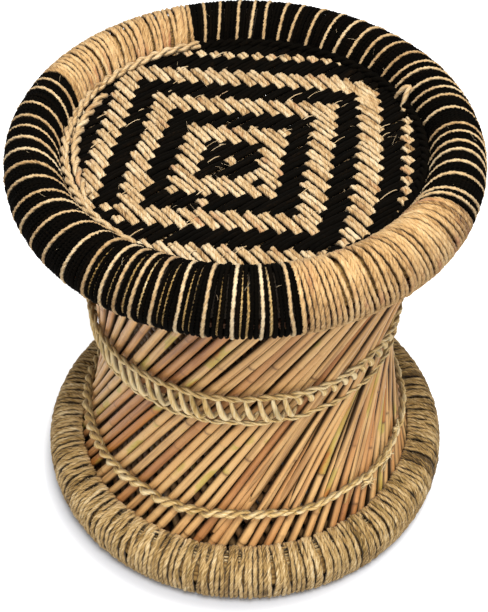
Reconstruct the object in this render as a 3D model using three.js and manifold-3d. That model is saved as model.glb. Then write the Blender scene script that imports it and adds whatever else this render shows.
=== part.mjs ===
// A mudda stool: two crossing layers of straight reeds stand between a base roll and a rim roll.
// The rolls are hoops and bundles bound with wound cord, twined cords hold the waist, and a woven
// seat closes the rim. Millimetres, +Z up, origin on the floor at the stool's axis, front at -Y.
import * as THREE from "three";
import { mergeVertices } from "three/addons/utils/BufferGeometryUtils.js";
import Module from "manifold-3d";

const wasm = await Module();
wasm.setup();

// Overall sizes
const OVERALL_HEIGHT = 368;
const RIM_RADIUS = 180;
const BASE_RADIUS = 177;
const WAIST_REED_RADIUS = 118;

// Rim roll
const RIM_HEIGHT = 58;
const RIM_WIDTH = 44;
const RIM_OUTER_LIP = 22;
const RIM_LEDGE_WIDTH = 22;
const RIM_TUCK = 16;

// Base roll
const BASE_HEIGHT = 42;
const BASE_OUTER_LIP = 22.5;
const BASE_INNER_WIDTH = 25.5;
const BASE_TUCK = 23;

// Reeds
const REED_DIAMETER = 8.4;
const REED_BITE = 0.5;
const LAYER_GAP = 0.4;
const OUTER_HANDS = 13;
const INNER_HANDS = 12;
const REED_SIDES = 6;

// Wound cords
const WRAP_THICKNESS = 4.2;
const TURN_GAP = 0.5;
const JUTE_PITCH_DEG = 2.25;
const STRIPE_TURNS = 24;
const BASE_TURNS = 20;
const STRIPE_WIDTH = 4.6;
const STRIPE_THICKNESS = 1.7;

// Twined cords, lacing, seat and braid
const TWINE_DIAMETER = 7.6;
const UPPER_TWINE_HEIGHT = 204.5;
const LOWER_TWINE_HEIGHT = 175;
const FOOT_TWINE_HEIGHT = 72;
const LACING_DIAMETER = 5;
const LACING_STITCHES = 36;
const SEAT_DROP = 23.5;
const SEAT_THICKNESS = 8;
const BRAID_DIAMETER = 6.4;
const BRAID_BED_DROP = 2;

// Clearances
const MERGE_DISTANCE = 0.0001;
const FIT_GAP = 0.4;
const CORE_GAP = 0.75;
const FOOT_CUT = 0.5;

// Ring steps
const RING_STEPS = 32;
const TWINE_STEPS = 28;
const SLEEVE_STEP_DEG = 7.5;
const CORD_SIDES = 5;
const HOOP_SIDES = 5;

// Where the two jute lengths start and end round the rim, and where the base ropes start, in
// degrees from the front that grow towards +X
const JUTE_FRONT_DEG = [11.5, 59];
const JUTE_BACK_DEG = [196.5, 247];
const BASE_ROPE_FRONT_DEG = -90;
const BASE_ROPE_BACK_DEG = 90;
const FULL_TURN_DEG = 360;

// A wall that leans with the reeds is wider across than the reed is thick, by this share
const LEAN_SHARE = 1.09;

const REED_RADIUS = REED_DIAMETER / 2;
const RIM_BOTTOM = OVERALL_HEIGHT - RIM_HEIGHT;
const REED_TOP = RIM_BOTTOM + RIM_TUCK;
const REED_FOOT = BASE_HEIGHT - BASE_TUCK;

const radians = THREE.MathUtils.degToRad;
const outward = (angle) => new THREE.Vector3(Math.sin(angle), -Math.cos(angle), 0);
const along = (angle) => new THREE.Vector3(Math.cos(angle), Math.sin(angle), 0);
const at = (angle, radius, height) => outward(angle).multiplyScalar(radius).setZ(height);

// Materials
const material = (color, roughness) =>
  new THREE.MeshStandardMaterial({ color, roughness, metalness: 0 });
const REED_OUTSIDE = material(0xc49a63, 0.55);
const REED_INSIDE = material(0x8a5a3a, 0.65);
const JUTE = material(0xcfae74, 0.9);
const BLACK_CORD = material(0x15161a, 0.95);
const STRAW_ROPE = material(0xb39a5e, 0.85);
const GRASS = material(0xa8905a, 0.95);
const CANE = material(0xb98a55, 0.6);
const SEAT_CORD = material(0x8f7a55, 0.92);

const stool = new THREE.Group();

function place(name, geometry, finish) {
  const mesh = new THREE.Mesh(geometry, finish);
  mesh.name = name;
  stool.add(mesh);
}

// Solids for joining and cutting
function solidOf(geometry) {
  const bare = new THREE.BufferGeometry();
  bare.setAttribute("position", geometry.getAttribute("position"));
  if (geometry.index) bare.setIndex(geometry.index);
  const merged = mergeVertices(bare, MERGE_DISTANCE);
  return new wasm.Manifold(
    new wasm.Mesh({
      numProp: 3,
      vertProperties: new Float32Array(merged.getAttribute("position").array),
      triVerts: new Uint32Array(merged.index.array),
    }),
  );
}

function geometryOf(solid) {
  const mesh = solid.getMesh();
  const geometry = new THREE.BufferGeometry();
  geometry.setAttribute("position", new THREE.BufferAttribute(mesh.vertProperties, 3));
  geometry.setIndex(new THREE.BufferAttribute(mesh.triVerts, 1));
  return geometry;
}

// A body through a row of rings that have the same number of corners, its ends closed or joined
function loft(rings, joined) {
  const sides = rings[0].length;
  const positions = rings.flat().flatMap((p) => p.toArray());
  const index = [];
  const last = joined ? rings.length : rings.length - 1;
  for (let r = 0; r < last; r++) {
    for (let s = 0; s < sides; s++) {
      const a = r * sides + s;
      const b = r * sides + ((s + 1) % sides);
      const c = ((r + 1) % rings.length) * sides + s;
      const d = ((r + 1) % rings.length) * sides + ((s + 1) % sides);
      index.push(a, b, c, b, d, c);
    }
  }
  if (!joined) {
    const end = (rings.length - 1) * sides;
    for (let s = 1; s < sides - 1; s++) {
      index.push(0, s + 1, s, end, end + s, end + s + 1);
    }
  }
  const geometry = new THREE.BufferGeometry();
  geometry.setAttribute("position", new THREE.Float32BufferAttribute(positions, 3));
  geometry.setIndex(index);
  return geometry;
}

// One layer of reeds: each is a straight line that passes the waist radius on its way between
// the foot radius and the top radius. sense is +1 where the tops lean towards growing angles.
function reedLayer(footRadius, waistRadius, topRadius, sense, hands) {
  const footTurn = Math.acos(waistRadius / footRadius);
  const topTurn = Math.acos(waistRadius / topRadius);
  const footRun = waistRadius * Math.tan(footTurn);
  const topRun = waistRadius * Math.tan(topTurn);
  const height = REED_TOP - REED_FOOT;
  const waistHeight = REED_FOOT + (height * footRun) / (footRun + topRun);
  const slope = (footRun + topRun) / height;
  const radiusAt = (z) => Math.hypot(waistRadius, slope * (z - waistHeight));
  // How far a level slice of a reed reaches from its middle, away from the stool's axis
  const reachAt = (z) => {
    const lengthwise = (slope * Math.abs(z - waistHeight)) / radiusAt(z);
    const corners = Array.from({ length: REED_SIDES }, (_, i) => (2 * Math.PI * i) / REED_SIDES);
    const reaches = corners.map(
      (turn) =>
        (Math.sin(turn) * waistRadius) / radiusAt(z) +
        Math.cos(turn) * Math.hypot(1, slope) * lengthwise,
    );
    return REED_RADIUS * Math.max(...reaches);
  };
  const pitch = ((REED_DIAMETER - REED_BITE) * Math.hypot(1, slope)) / waistRadius;
  const perHand = Math.floor((2 * Math.PI) / hands / pitch);
  return { waistRadius, waistHeight, slope, sense, hands, pitch, perHand, radiusAt, reachAt };
}

function reed(layer, angle) {
  const direction = along(angle).multiplyScalar(layer.sense * layer.slope).setZ(1).normalize();
  const face = outward(angle);
  const length = (REED_TOP - REED_FOOT) / direction.z - REED_DIAMETER * layer.slope;
  const middle = (REED_TOP + REED_FOOT) / 2;
  const centre = at(angle, layer.waistRadius, layer.waistHeight);
  centre.addScaledVector(direction, (middle - layer.waistHeight) / direction.z);
  const cane = new THREE.CylinderGeometry(REED_RADIUS, REED_RADIUS, length, REED_SIDES);
  const side = face.clone().cross(direction);
  cane.applyMatrix4(new THREE.Matrix4().makeBasis(face, direction, side).setPosition(centre));
  return cane;
}

// A hand of reeds, which touch each other at the waist
function handOfReeds(layer, hand) {
  const start = (2 * Math.PI * hand) / layer.hands;
  const reeds = Array.from({ length: layer.perHand }, (_, i) =>
    solidOf(reed(layer, start + i * layer.pitch)),
  );
  return geometryOf(reeds.reduce((joined, next) => joined.add(next)));
}

const outerTopRadius = RIM_RADIUS - RIM_OUTER_LIP - FIT_GAP - REED_RADIUS * LEAN_SHARE;
const outerFootRadius = BASE_RADIUS - BASE_OUTER_LIP - FIT_GAP - REED_RADIUS * LEAN_SHARE;
const layerStep = REED_DIAMETER + LAYER_GAP;
const outerLayer = reedLayer(
  outerFootRadius,
  WAIST_REED_RADIUS,
  outerTopRadius,
  1,
  OUTER_HANDS,
);
const innerLayer = reedLayer(
  outerFootRadius - layerStep * LEAN_SHARE,
  WAIST_REED_RADIUS - layerStep,
  outerTopRadius - layerStep * LEAN_SHARE,
  -1,
  INNER_HANDS,
);

// Faces of the reed sandwich at a height, with a clearance
const outsideOfReeds = (z, gap) => outerLayer.radiusAt(z) + outerLayer.reachAt(z) + gap;
const insideOfReeds = (z, gap) => innerLayer.radiusAt(z) - innerLayer.reachAt(z) - gap;

// Sections of the two rolls, as corners in radius and height, each with a mouth for the reeds
const corner = (radius, height) => new THREE.Vector2(radius, height);
const RIM_CORNERS = [
  "outerLip",
  "outerHeel",
  "outerSide",
  "outerShoulder",
  "crest",
  "innerShoulder",
  "innerSide",
  "ledge",
  "innerLip",
  "innerCeiling",
  "outerCeiling",
];
const BASE_CORNERS = [
  "outerFloor",
  "innerFloor",
  "innerLip",
  "innerSide",
  "innerFoot",
  "outerFoot",
  "outerSide",
  "outerShoulder",
  "crest",
  "outerLip",
];
const pick = (section, corners, names) => names.map((name) => section[corners.indexOf(name)]);

function rimSection() {
  const inner = RIM_RADIUS - RIM_WIDTH;
  const centre = RIM_RADIUS - RIM_WIDTH / 2;
  const middle = RIM_BOTTOM + RIM_HEIGHT / 2;
  const shoulderWidth = (RIM_WIDTH / 2) * Math.SQRT1_2;
  const shoulderHeight = (RIM_HEIGHT / 2) * Math.SQRT1_2;
  const ceiling = REED_TOP + FIT_GAP;
  const mouthInner = insideOfReeds(RIM_BOTTOM, FIT_GAP);
  return [
    corner(outsideOfReeds(RIM_BOTTOM, FIT_GAP), RIM_BOTTOM),
    corner(centre + shoulderWidth, middle - shoulderHeight),
    corner(RIM_RADIUS, middle),
    corner(centre + shoulderWidth, middle + shoulderHeight),
    corner(centre, OVERALL_HEIGHT),
    corner(centre - shoulderWidth, middle + shoulderHeight),
    corner(inner, middle),
    corner(mouthInner - RIM_LEDGE_WIDTH, middle - shoulderHeight / 2),
    corner(mouthInner, RIM_BOTTOM),
    corner(insideOfReeds(ceiling, FIT_GAP), ceiling),
    corner(outsideOfReeds(ceiling, FIT_GAP), ceiling),
  ];
}

function baseSection() {
  const floor = REED_FOOT - FIT_GAP;
  const round = BASE_HEIGHT / 4;
  const half = BASE_HEIGHT / 2;
  const mouth = BASE_HEIGHT - round / 2;
  const mouthOuter = outsideOfReeds(mouth, FIT_GAP);
  const mouthInner = insideOfReeds(mouth, FIT_GAP);
  const inner = insideOfReeds(half, FIT_GAP) - BASE_INNER_WIDTH;
  return [
    corner(outsideOfReeds(floor, FIT_GAP), floor),
    corner(insideOfReeds(floor, FIT_GAP), floor),
    corner(mouthInner, mouth),
    corner(inner, half),
    corner(inner + round, -FOOT_CUT),
    corner(BASE_RADIUS - round, -FOOT_CUT),
    corner(BASE_RADIUS, half),
    corner(BASE_RADIUS - round / 2, BASE_HEIGHT - round),
    corner((mouthOuter + BASE_RADIUS) / 2, BASE_HEIGHT),
    corner(mouthOuter, mouth),
  ];
}

// The section drawn in by a distance, corner by corner
function drawnIn(section, distance) {
  return section.map((point, i) => {
    const before = section[(i + section.length - 1) % section.length];
    const after = section[(i + 1) % section.length];
    const a = point.clone().sub(before).normalize();
    const b = after.clone().sub(point).normalize();
    const inwardA = new THREE.Vector2(-a.y, a.x);
    const inwardB = new THREE.Vector2(-b.y, b.x);
    const bisector = inwardA.clone().add(inwardB);
    return point.clone().addScaledVector(bisector, distance / (1 + inwardA.dot(inwardB)));
  });
}

// How far round a section's corner lies, from -1/2 to 1/2: a wound cord leads or lags by this
// share of its pitch there
const lead = (place, count) => (place + 1 / 2) / count - 1 / 2;

// One unbroken cord wound round a section while it travels from one angle to another. A packed
// cord is pressed flat outside against its neighbours, down to the floor at the foot, and a
// loose one is a ridge on the roll. Its ends lie straight along the wall of the reed mouth.
function woundCord(name, section, thickness, fromDeg, toDeg, turns, looseWidth) {
  const outer = section.map((p) => corner(p.x, Math.max(p.y, 0)));
  const inner = drawnIn(section, thickness);
  const count = section.length;
  const step = radians(toDeg - fromDeg) / turns;
  const rings = [];
  const ringAt = (place, top, bed) => {
    const angle = radians(fromDeg) + step * (1 / 2 + lead(place, count));
    const wide = looseWidth ? bed : top;
    const crest = looseWidth ? top : bed;
    const half = (looseWidth || step * wide.x - TURN_GAP) / wide.x / 2;
    const edges = [at(angle - half, wide.x, wide.y), at(angle + half, wide.x, wide.y)];
    if (looseWidth) edges.reverse();
    rings.push([...edges, at(angle, crest.x, crest.y)]);
  };
  const middleOf = (corners) => corners[count - 1].clone().lerp(corners[0], 1 / 2);
  ringAt(-1 / 2, middleOf(outer), middleOf(inner));
  for (let i = 0; i < turns * count; i++) {
    ringAt(i, outer[i % count], inner[i % count]);
  }
  ringAt(turns * count - 1 / 2, middleOf(outer), middleOf(inner));
  const least = leastGap(rings, count);
  console.log(`${name}: ${turns} turns, least gap to itself ${least.toFixed(2)} mm`);
  return loft(rings, false);
}

// The least distance between the corners of a wound cord and those of its other turns
function leastGap(rings, count) {
  let least = Infinity;
  rings.forEach((ring, i) => {
    for (const other of rings.slice(i + Math.ceil(count / 2))) {
      for (const p of ring) {
        for (const q of other) least = Math.min(least, p.distanceTo(q));
      }
    }
  });
  return least;
}

// A sleeve round the section from one angle to another, open inside and along the outer wall of
// the reed mouth. Its ends are skewed to lie along the packed turns beside it.
function sleeve(section, depth, thickness, fromDeg, toDeg) {
  const outside = drawnIn(section, depth);
  const inside = drawnIn(section, depth + thickness);
  const sides = section.length;
  const steps = Math.ceil((toDeg - fromDeg) / SLEEVE_STEP_DEG);
  const margin = FIT_GAP / section[0].x;
  const from = radians(fromDeg) + margin;
  const to = radians(toDeg) - margin;
  const skew = (i) => radians(JUTE_PITCH_DEG) * lead(i, sides);
  const rings = [];
  for (let r = 0; r <= steps; r++) {
    const angle = THREE.MathUtils.lerp(from, to, r / steps);
    const wall = (corners) => corners.map((p, i) => at(angle + skew(i), p.x, p.y));
    rings.push([...wall(inside), ...wall(outside).reverse()]);
  }
  const body = loft(rings, true);
  const around = sides * 2;
  const facesAround = around * 2;
  const index = [...body.index.array].slice(0, steps * facesAround * 3);
  const end = steps * around;
  for (let s = 0; s < sides - 1; s++) {
    const [a, b, c, d] = [s, s + 1, around - 2 - s, around - 1 - s];
    index.push(a, c, b, a, d, c);
    index.push(end + a, end + b, end + c, end + a, end + c, end + d);
  }
  return body.setIndex(index);
}

// A full ring of a closed section
function ringOf(corners, steps = RING_STEPS) {
  const profile = [...corners, corners[0]];
  return new THREE.LatheGeometry(profile, steps).rotateX(Math.PI / 2);
}

// A hoop with a round section that fills the space between corners, clear of its sides
function hoopIn(corners) {
  const centre = corners
    .reduce((sum, p) => sum.add(p), corner(0, 0))
    .divideScalar(corners.length);
  const unit = roundSection(corner(0, 0), 1, HOOP_SIDES);
  const radii = corners.map((p, i) => {
    const side = corners[(i + 1) % corners.length].clone().sub(p).normalize();
    const normal = corner(side.y, -side.x);
    const room = normal.dot(p.clone().sub(centre)) - CORE_GAP;
    return room / Math.max(...unit.map((point) => point.dot(normal)));
  });
  return ringOf(roundSection(centre, Math.min(...radii), HOOP_SIDES));
}

function roundSection(centre, radius, sides) {
  return Array.from({ length: sides }, (_, i) => {
    const turn = (2 * Math.PI * (i + 1 / 2)) / sides;
    return corner(centre.x + radius * Math.cos(turn), centre.y + radius * Math.sin(turn));
  });
}

// Rim roll
const rim = rimSection();
const rimCore = drawnIn(rim, WRAP_THICKNESS + CORE_GAP);
const overHoops = ["outerSide", "outerShoulder", "crest", "innerShoulder", "innerSide"];
const padding = pick(rimCore, RIM_CORNERS, [...overHoops, "innerCeiling", "outerCeiling"]);
place("rim_padding_bundle", ringOf(padding), GRASS);
const rimBed = drawnIn(rim, WRAP_THICKNESS);
const besideReeds = pick(rimBed, RIM_CORNERS, ["outerLip", "outerHeel", "outerSide", "outerCeiling"]);
place("rim_outer_hoop", hoopIn(besideReeds), CANE);
const insideReeds = pick(rimBed, RIM_CORNERS, ["ledge", "innerLip", "innerCeiling"]);
place("rim_inner_hoop", hoopIn(insideReeds), CANE);

const juteLengths = { front: JUTE_FRONT_DEG, back: JUTE_BACK_DEG };
for (const [where, [from, to]] of Object.entries(juteLengths)) {
  const name = `rim_jute_wrap_${where}`;
  const turns = Math.round((to - from) / JUTE_PITCH_DEG);
  place(name, woundCord(name, rim, WRAP_THICKNESS, from, to, turns), JUTE);
}

const blackLengths = {
  front: [JUTE_BACK_DEG[1], JUTE_FRONT_DEG[0] + FULL_TURN_DEG],
  back: [JUTE_FRONT_DEG[1], JUTE_BACK_DEG[0]],
};
for (const [where, [from, to]] of Object.entries(blackLengths)) {
  const depth = STRIPE_THICKNESS + FIT_GAP;
  place(
    `rim_black_wrap_${where}`,
    sleeve(rim, depth, WRAP_THICKNESS - depth, from, to),
    BLACK_CORD,
  );
  const name = `rim_stripe_cord_${where}`;
  const ends = [from + JUTE_PITCH_DEG, to - JUTE_PITCH_DEG];
  const cord = woundCord(name, rim, STRIPE_THICKNESS, ...ends, STRIPE_TURNS, STRIPE_WIDTH);
  place(name, cord, JUTE);
}

// Base roll
const base = baseSection();
const baseCore = drawnIn(base, WRAP_THICKNESS + CORE_GAP);
const outerRound = ["outerFoot", "outerSide", "outerShoulder", "crest", "outerLip"];
const bundle = pick(baseCore, BASE_CORNERS, ["outerFloor", ...outerRound]);
place("base_outer_bundle", ringOf(bundle), GRASS);
const baseBed = drawnIn(base, WRAP_THICKNESS);
const innerRound = pick(baseBed, BASE_CORNERS, ["innerFloor", "innerLip", "innerSide", "innerFoot"]);
place("base_inner_hoop", hoopIn(innerRound), CANE);

const ropeStarts = { front: BASE_ROPE_FRONT_DEG, back: BASE_ROPE_BACK_DEG };
for (const [where, from] of Object.entries(ropeStarts)) {
  const name = `base_rope_wrap_${where}`;
  const to = from + FULL_TURN_DEG / 2;
  place(name, woundCord(name, base, WRAP_THICKNESS, from, to, BASE_TURNS), STRAW_ROPE);
}

// Reeds
for (const [name, layer, finish] of [
  ["outer_reeds", outerLayer, REED_OUTSIDE],
  ["inner_reeds", innerLayer, REED_INSIDE],
]) {
  for (let hand = 0; hand < layer.hands; hand++) {
    const number = String(hand + 1).padStart(2, "0");
    place(`${name}_${number}`, handOfReeds(layer, hand), finish);
  }
}

// Twined cords: one strand outside the cage and one inside, at each height
const twineRadius = TWINE_DIAMETER / 2;
const twineHeights = {
  upper_waist: UPPER_TWINE_HEIGHT,
  lower_waist: LOWER_TWINE_HEIGHT,
  foot: FOOT_TWINE_HEIGHT,
};
const chordShare = 1 / Math.cos(Math.PI / TWINE_STEPS);
for (const [name, height] of Object.entries(twineHeights)) {
  const outside = outsideOfReeds(height, FIT_GAP + twineRadius) * chordShare;
  const flat = twineRadius * Math.cos(Math.PI / CORD_SIDES);
  const rise = twineRadius * Math.sin(Math.PI / CORD_SIDES);
  const edges = [height - rise, height + rise];
  const inside = Math.min(...edges.map((z) => insideOfReeds(z, FIT_GAP + flat)));
  const cord = (radius) =>
    ringOf(roundSection(corner(radius, height), twineRadius, CORD_SIDES), TWINE_STEPS);
  place(`${name}_twine_outside`, cord(outside), STRAW_ROPE);
  place(`${name}_twine_inside`, cord(inside), STRAW_ROPE);
}

// Lacing: one endless cord that runs down and up between the two waist twines
function lacing() {
  const radius = LACING_DIAMETER / 2;
  const reach = twineRadius + radius + FIT_GAP;
  const top = UPPER_TWINE_HEIGHT - reach;
  const bottom = LOWER_TWINE_HEIGHT + reach;
  const points = Array.from({ length: LACING_STITCHES * 2 }, (_, i) => {
    const height = i % 2 ? bottom : top;
    const angle = (Math.PI * (i + (i % 2) / 2)) / LACING_STITCHES;
    return at(angle, outsideOfReeds(height, FIT_GAP + radius), height);
  });
  const rings = points.map((point, i) => {
    const before = points[(i + points.length - 1) % points.length];
    const after = points[(i + 1) % points.length];
    const a = point.clone().sub(before).normalize();
    const b = after.clone().sub(point).normalize();
    const face = point.clone().setZ(0).normalize();
    const mitre = b.clone().sub(a).normalize();
    const half = radius / Math.sqrt((1 - a.dot(b)) / 2);
    const across = mitre.multiplyScalar(Math.min(radius * 2, half) * (i % 2 ? 1 : -1));
    return [
      point.clone().addScaledVector(face, radius),
      point.clone().addScaledVector(face, -radius).sub(across),
      point.clone().addScaledVector(face, -radius).add(across),
    ];
  });
  return loft(rings, true);
}
place("waist_lacing", lacing(), STRAW_ROPE);

// Seat: a woven panel that fills the rim above its ledge, pressed down at its edge, where the
// braid lies
const [ledge, side, shoulder] = pick(rim, RIM_CORNERS, ["ledge", "innerSide", "innerShoulder"]);
const radiusOnRim = (z) => {
  const [low, high] = z < side.y ? [ledge, side] : [side, shoulder];
  return THREE.MathUtils.mapLinear(z, low.y, high.y, low.x, high.x);
};
const seatTop = OVERALL_HEIGHT - SEAT_DROP;
const seatUnderside = seatTop - SEAT_THICKNESS;
const braidBed = seatTop - BRAID_BED_DROP;
const seatEdge = [seatUnderside, side.y, braidBed].map((z) =>
  corner(radiusOnRim(z) - CORE_GAP, z),
);
const braidRadius = BRAID_DIAMETER / 2;
const bedEdge = radiusOnRim(braidBed) - CORE_GAP;
const faceRadius = bedEdge - BRAID_DIAMETER - FIT_GAP;
const seatProfile = [
  corner(0, seatUnderside),
  ...seatEdge,
  corner(faceRadius, braidBed),
  corner(faceRadius, seatTop),
  corner(0, seatTop),
];
place(
  "seat_weave",
  new THREE.LatheGeometry(seatProfile, RING_STEPS).rotateX(Math.PI / 2),
  SEAT_CORD,
);
const braidCentre = corner(bedEdge - braidRadius, braidBed + FIT_GAP + braidRadius);
place("seat_border_braid", ringOf(roundSection(braidCentre, braidRadius, CORD_SIDES)), JUTE);

export default stool;
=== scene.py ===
import math
from dataclasses import dataclass

import bmesh
import bpy
import numpy as np
from bpy.props import FloatProperty, FloatVectorProperty, IntProperty, PointerProperty
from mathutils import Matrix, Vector


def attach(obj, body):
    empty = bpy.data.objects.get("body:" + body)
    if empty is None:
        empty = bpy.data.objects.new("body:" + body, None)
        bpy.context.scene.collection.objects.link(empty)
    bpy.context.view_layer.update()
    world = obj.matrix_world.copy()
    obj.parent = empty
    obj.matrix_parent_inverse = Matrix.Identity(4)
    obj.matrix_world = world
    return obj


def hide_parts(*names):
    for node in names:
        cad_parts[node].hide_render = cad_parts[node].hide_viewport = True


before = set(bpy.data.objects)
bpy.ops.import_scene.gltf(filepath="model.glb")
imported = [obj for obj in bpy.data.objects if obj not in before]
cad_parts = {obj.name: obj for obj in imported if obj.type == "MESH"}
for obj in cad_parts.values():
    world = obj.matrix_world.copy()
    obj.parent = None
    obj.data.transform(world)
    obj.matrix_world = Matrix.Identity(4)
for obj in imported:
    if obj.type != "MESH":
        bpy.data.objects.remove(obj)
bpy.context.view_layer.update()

bl_info = {
    "name": "Mudda Stool",
    "version": (1, 0, 0),
    "blender": (4, 5, 0),
    "location": "View3D > Sidebar > Stool",
    "description": "Dresses the frame of a woven reed stool with reeds, wound cords and a twill seat",
    "category": "Add Mesh",
}

TURN = 2 * math.pi
SEED = 20
TINTS = 9


def hexed(code):
    """A colour written as on screen, turned into the linear colour that shaders read."""
    parts = [int(code[i : i + 2], 16) / 255 for i in (0, 2, 4)]
    return [p / 12.92 if p <= 0.04045 else ((p + 0.055) / 1.055) ** 2.4 for p in parts]


def length(name, description, default):
    """A size in metres that a user can change."""
    return FloatProperty(
        name=name, description=description, default=default, min=0, precision=4, unit="LENGTH"
    )


def colour(name, description, code):
    """A colour that a user can change."""
    return FloatVectorProperty(
        name=name, description=description, default=hexed(code), subtype="COLOR", min=0, max=1
    )


# Sizes and colours

MAIN_CODES = {
    "jute": "c9a069", "pale": "c5a170", "straw": "b99861", "twine": "d0aa69", "black": "080502",
    "reed": "d29c61", "stalk": "8f6a35",
}


class CageSizes(bpy.types.PropertyGroup):
    """Two crossing layers of straight reeds"""

    foot_radius: length("Foot radius", "Outer layer at its foot, to the reeds' middle", 0.14952)
    waist_radius: length("Waist radius", "Outer layer at the waist", 0.118)
    top_radius: length("Top radius", "Outer layer at its top", 0.15302)
    foot_height: length("Foot height", "Where the reeds start", 0.019)
    top_height: length("Top height", "Where the reeds end", 0.326)
    reed_diameter: length("Reed diameter", "Thickness of a reed", 0.0084)
    reed_bite: length("Reed bite", "How far neighbours press into each other", 0.0005)
    layer_step: length("Layer step", "From the outer layer to the inner one", 0.0088)
    lean_share: FloatProperty(
        name="Lean share", description="Extra width of a leaning reed", default=1.09
    )
    outer_hands: IntProperty(name="Outer hands", description="Groups of outer reeds", default=13)
    inner_hands: IntProperty(name="Inner hands", description="Groups of inner reeds", default=12)
    joint_spacing: length("Joint spacing", "Between two joints of a reed", 0.095)


class RollSizes(bpy.types.PropertyGroup):
    """The rim roll and the base roll, with the cords wound round them"""

    rim_radius: length("Rim radius", "Outside of the rim roll", 0.18)
    rim_width: length("Rim width", "Across the rim roll", 0.044)
    rim_height: length("Rim height", "Height of the rim roll", 0.058)
    rim_top: length("Rim top", "Crest of the rim roll", 0.368)
    ledge_width: length("Ledge width", "Inner hoop's room under the seat", 0.022)
    base_radius: length("Base radius", "Outside of the base roll", 0.177)
    base_height: length("Base height", "Height of the base roll", 0.042)
    jute_radius: length("Jute radius", "Half the thickness of a jute turn", 0.00195)
    jute_pitch: length("Jute pitch", "From turn to turn on the outside", 0.0037)
    black_radius: length("Black radius", "Half the thickness of a black cord", 0.0019)
    black_pitch: length("Black pitch", "From cord to cord on the outside", 0.0034)
    stripe_radius: length("Stripe radius", "Half the thickness of a stripe cord", 0.0017)
    rope_radius: length("Rope radius", "Half the thickness of the base rope", 0.00228)
    rope_pitch: length("Rope pitch", "From turn to turn of the base rope", 0.0041)


class WaistSizes(bpy.types.PropertyGroup):
    """Twined cords and stitches round the cage"""

    upper_height: length("Upper twine", "Height of the upper waist twine", 0.2045)
    lower_height: length("Lower twine", "Height of the lower waist twine", 0.175)
    foot_height: length("Foot twine", "Height of the foot twine", 0.0715)
    twine_cord: length("Twine cord", "Half the thickness of each cord of a twine", 0.0018)
    twine_lay: length("Twine lay", "Length of one turn of a twine's two cords", 0.024)
    stitch_radius: length("Stitch radius", "Half the thickness of a stitch cord", 0.0025)
    stitches: IntProperty(name="Stitches", description="Stitches round the waist", default=78)


class SeatSizes(bpy.types.PropertyGroup):
    """The twill seat and the braid round it"""

    centre_x: FloatProperty(name="Centre X", description="Middle of the pattern", default=-0.011)
    centre_y: FloatProperty(name="Centre Y", description="Middle of the pattern", default=-0.014)
    edge_radius: length("Edge radius", "Where the weave goes under the rim", 0.1365)
    top: length("Top", "Height of the weave's top", 0.3452)
    row_step: length("Row step", "From float to float along a row", 0.01125)
    column_step: length("Column step", "From float to float along a column", 0.0121)
    row_angle: FloatProperty(
        name="Row angle", description="Lean of the rows", default=math.radians(-5), unit="ROTATION"
    )
    column_angle: FloatProperty(
        name="Column angle", description="Lean of the columns", default=math.radians(81),
        unit="ROTATION",
    )
    natural_radius: length("Natural radius", "Half the thickness of a natural cord", 0.00192)
    black_radius: length("Black radius", "Half the thickness of a black cord", 0.00185)
    rise: length("Rise", "How far a cord swings up and down from the weave's middle", 0.0020)
    braid_cord: length("Braid cord", "Half the thickness of a cord in the border", 0.0021)


class StageSizes(bpy.types.PropertyGroup):
    """Camera and light"""

    distance: length("Distance", "From the camera to the point it looks at", 1.151)
    elevation: FloatProperty(
        name="Elevation", description="Camera above the horizon", default=math.radians(45.3),
        unit="ROTATION",
    )
    aim_height: length("Aim height", "Height of the point it looks at", 0.173)
    focal_pixels: FloatProperty(
        name="Focal length", description="In pixels of the photograph", default=1379
    )
    photo_width: IntProperty(name="Width", description="Pixels across", default=488)
    photo_height: IntProperty(name="Height", description="Pixels down", default=612)
    centre_x: FloatProperty(name="Centre X", description="Pixel that it looks at", default=245)
    centre_y: FloatProperty(name="Centre Y", description="Pixel that it looks at", default=309)
    key_power: FloatProperty(name="Key", description="Power of the main lamp, in watts", default=57)
    fill_power: FloatProperty(name="Fill", description="Power of the fill lamp", default=9)
    sky_strength: FloatProperty(name="Sky", description="Light from all round", default=0.33)
    floor_glow: FloatProperty(name="Floor glow", description="Keeps the floor white", default=0.04)


class FinishColours(bpy.types.PropertyGroup):
    """The main colour of each finish, which its darker and lighter shades follow"""

    jute: colour("Jute", "Natural cord of the rim", MAIN_CODES["jute"])
    pale: colour("Pale cord", "The rim's stripes and the seat's natural cord", MAIN_CODES["pale"])
    straw: colour("Straw rope", "Rope of the base", MAIN_CODES["straw"])
    twine: colour("Twine", "Bindings of the waist and the foot", MAIN_CODES["twine"])
    black: colour("Black cord", "Black cord of the rim and the seat", MAIN_CODES["black"])
    reed: colour("Reed", "Skin of the reeds and hoops", MAIN_CODES["reed"])
    stalk: colour("Stalk", "Grass of the two bundles", MAIN_CODES["stalk"])


GROUPS = {
    "stool_colours": FinishColours,
    "stool_cage": CageSizes,
    "stool_rolls": RollSizes,
    "stool_waist": WaistSizes,
    "stool_seat": SeatSizes,
    "stool_stage": StageSizes,
}


# Places on the stool, with angles from the front that grow towards +X


def outward(angle):
    """Unit arrows away from the stool's axis."""
    return np.stack([np.sin(angle), -np.cos(angle), np.zeros_like(angle)], -1)


def sideways(angle):
    """Unit arrows round the stool."""
    return np.stack([np.cos(angle), np.sin(angle), np.zeros_like(angle)], -1)


def on_ring(angle, radius, height):
    """Points at an angle, a radius and a height, each a number or an array."""
    angle, radius, height = np.broadcast_arrays(
        np.asarray(angle, float), np.asarray(radius, float), np.asarray(height, float)
    )
    points = outward(angle) * radius[..., None]
    points[..., 2] = height
    return points


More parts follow.
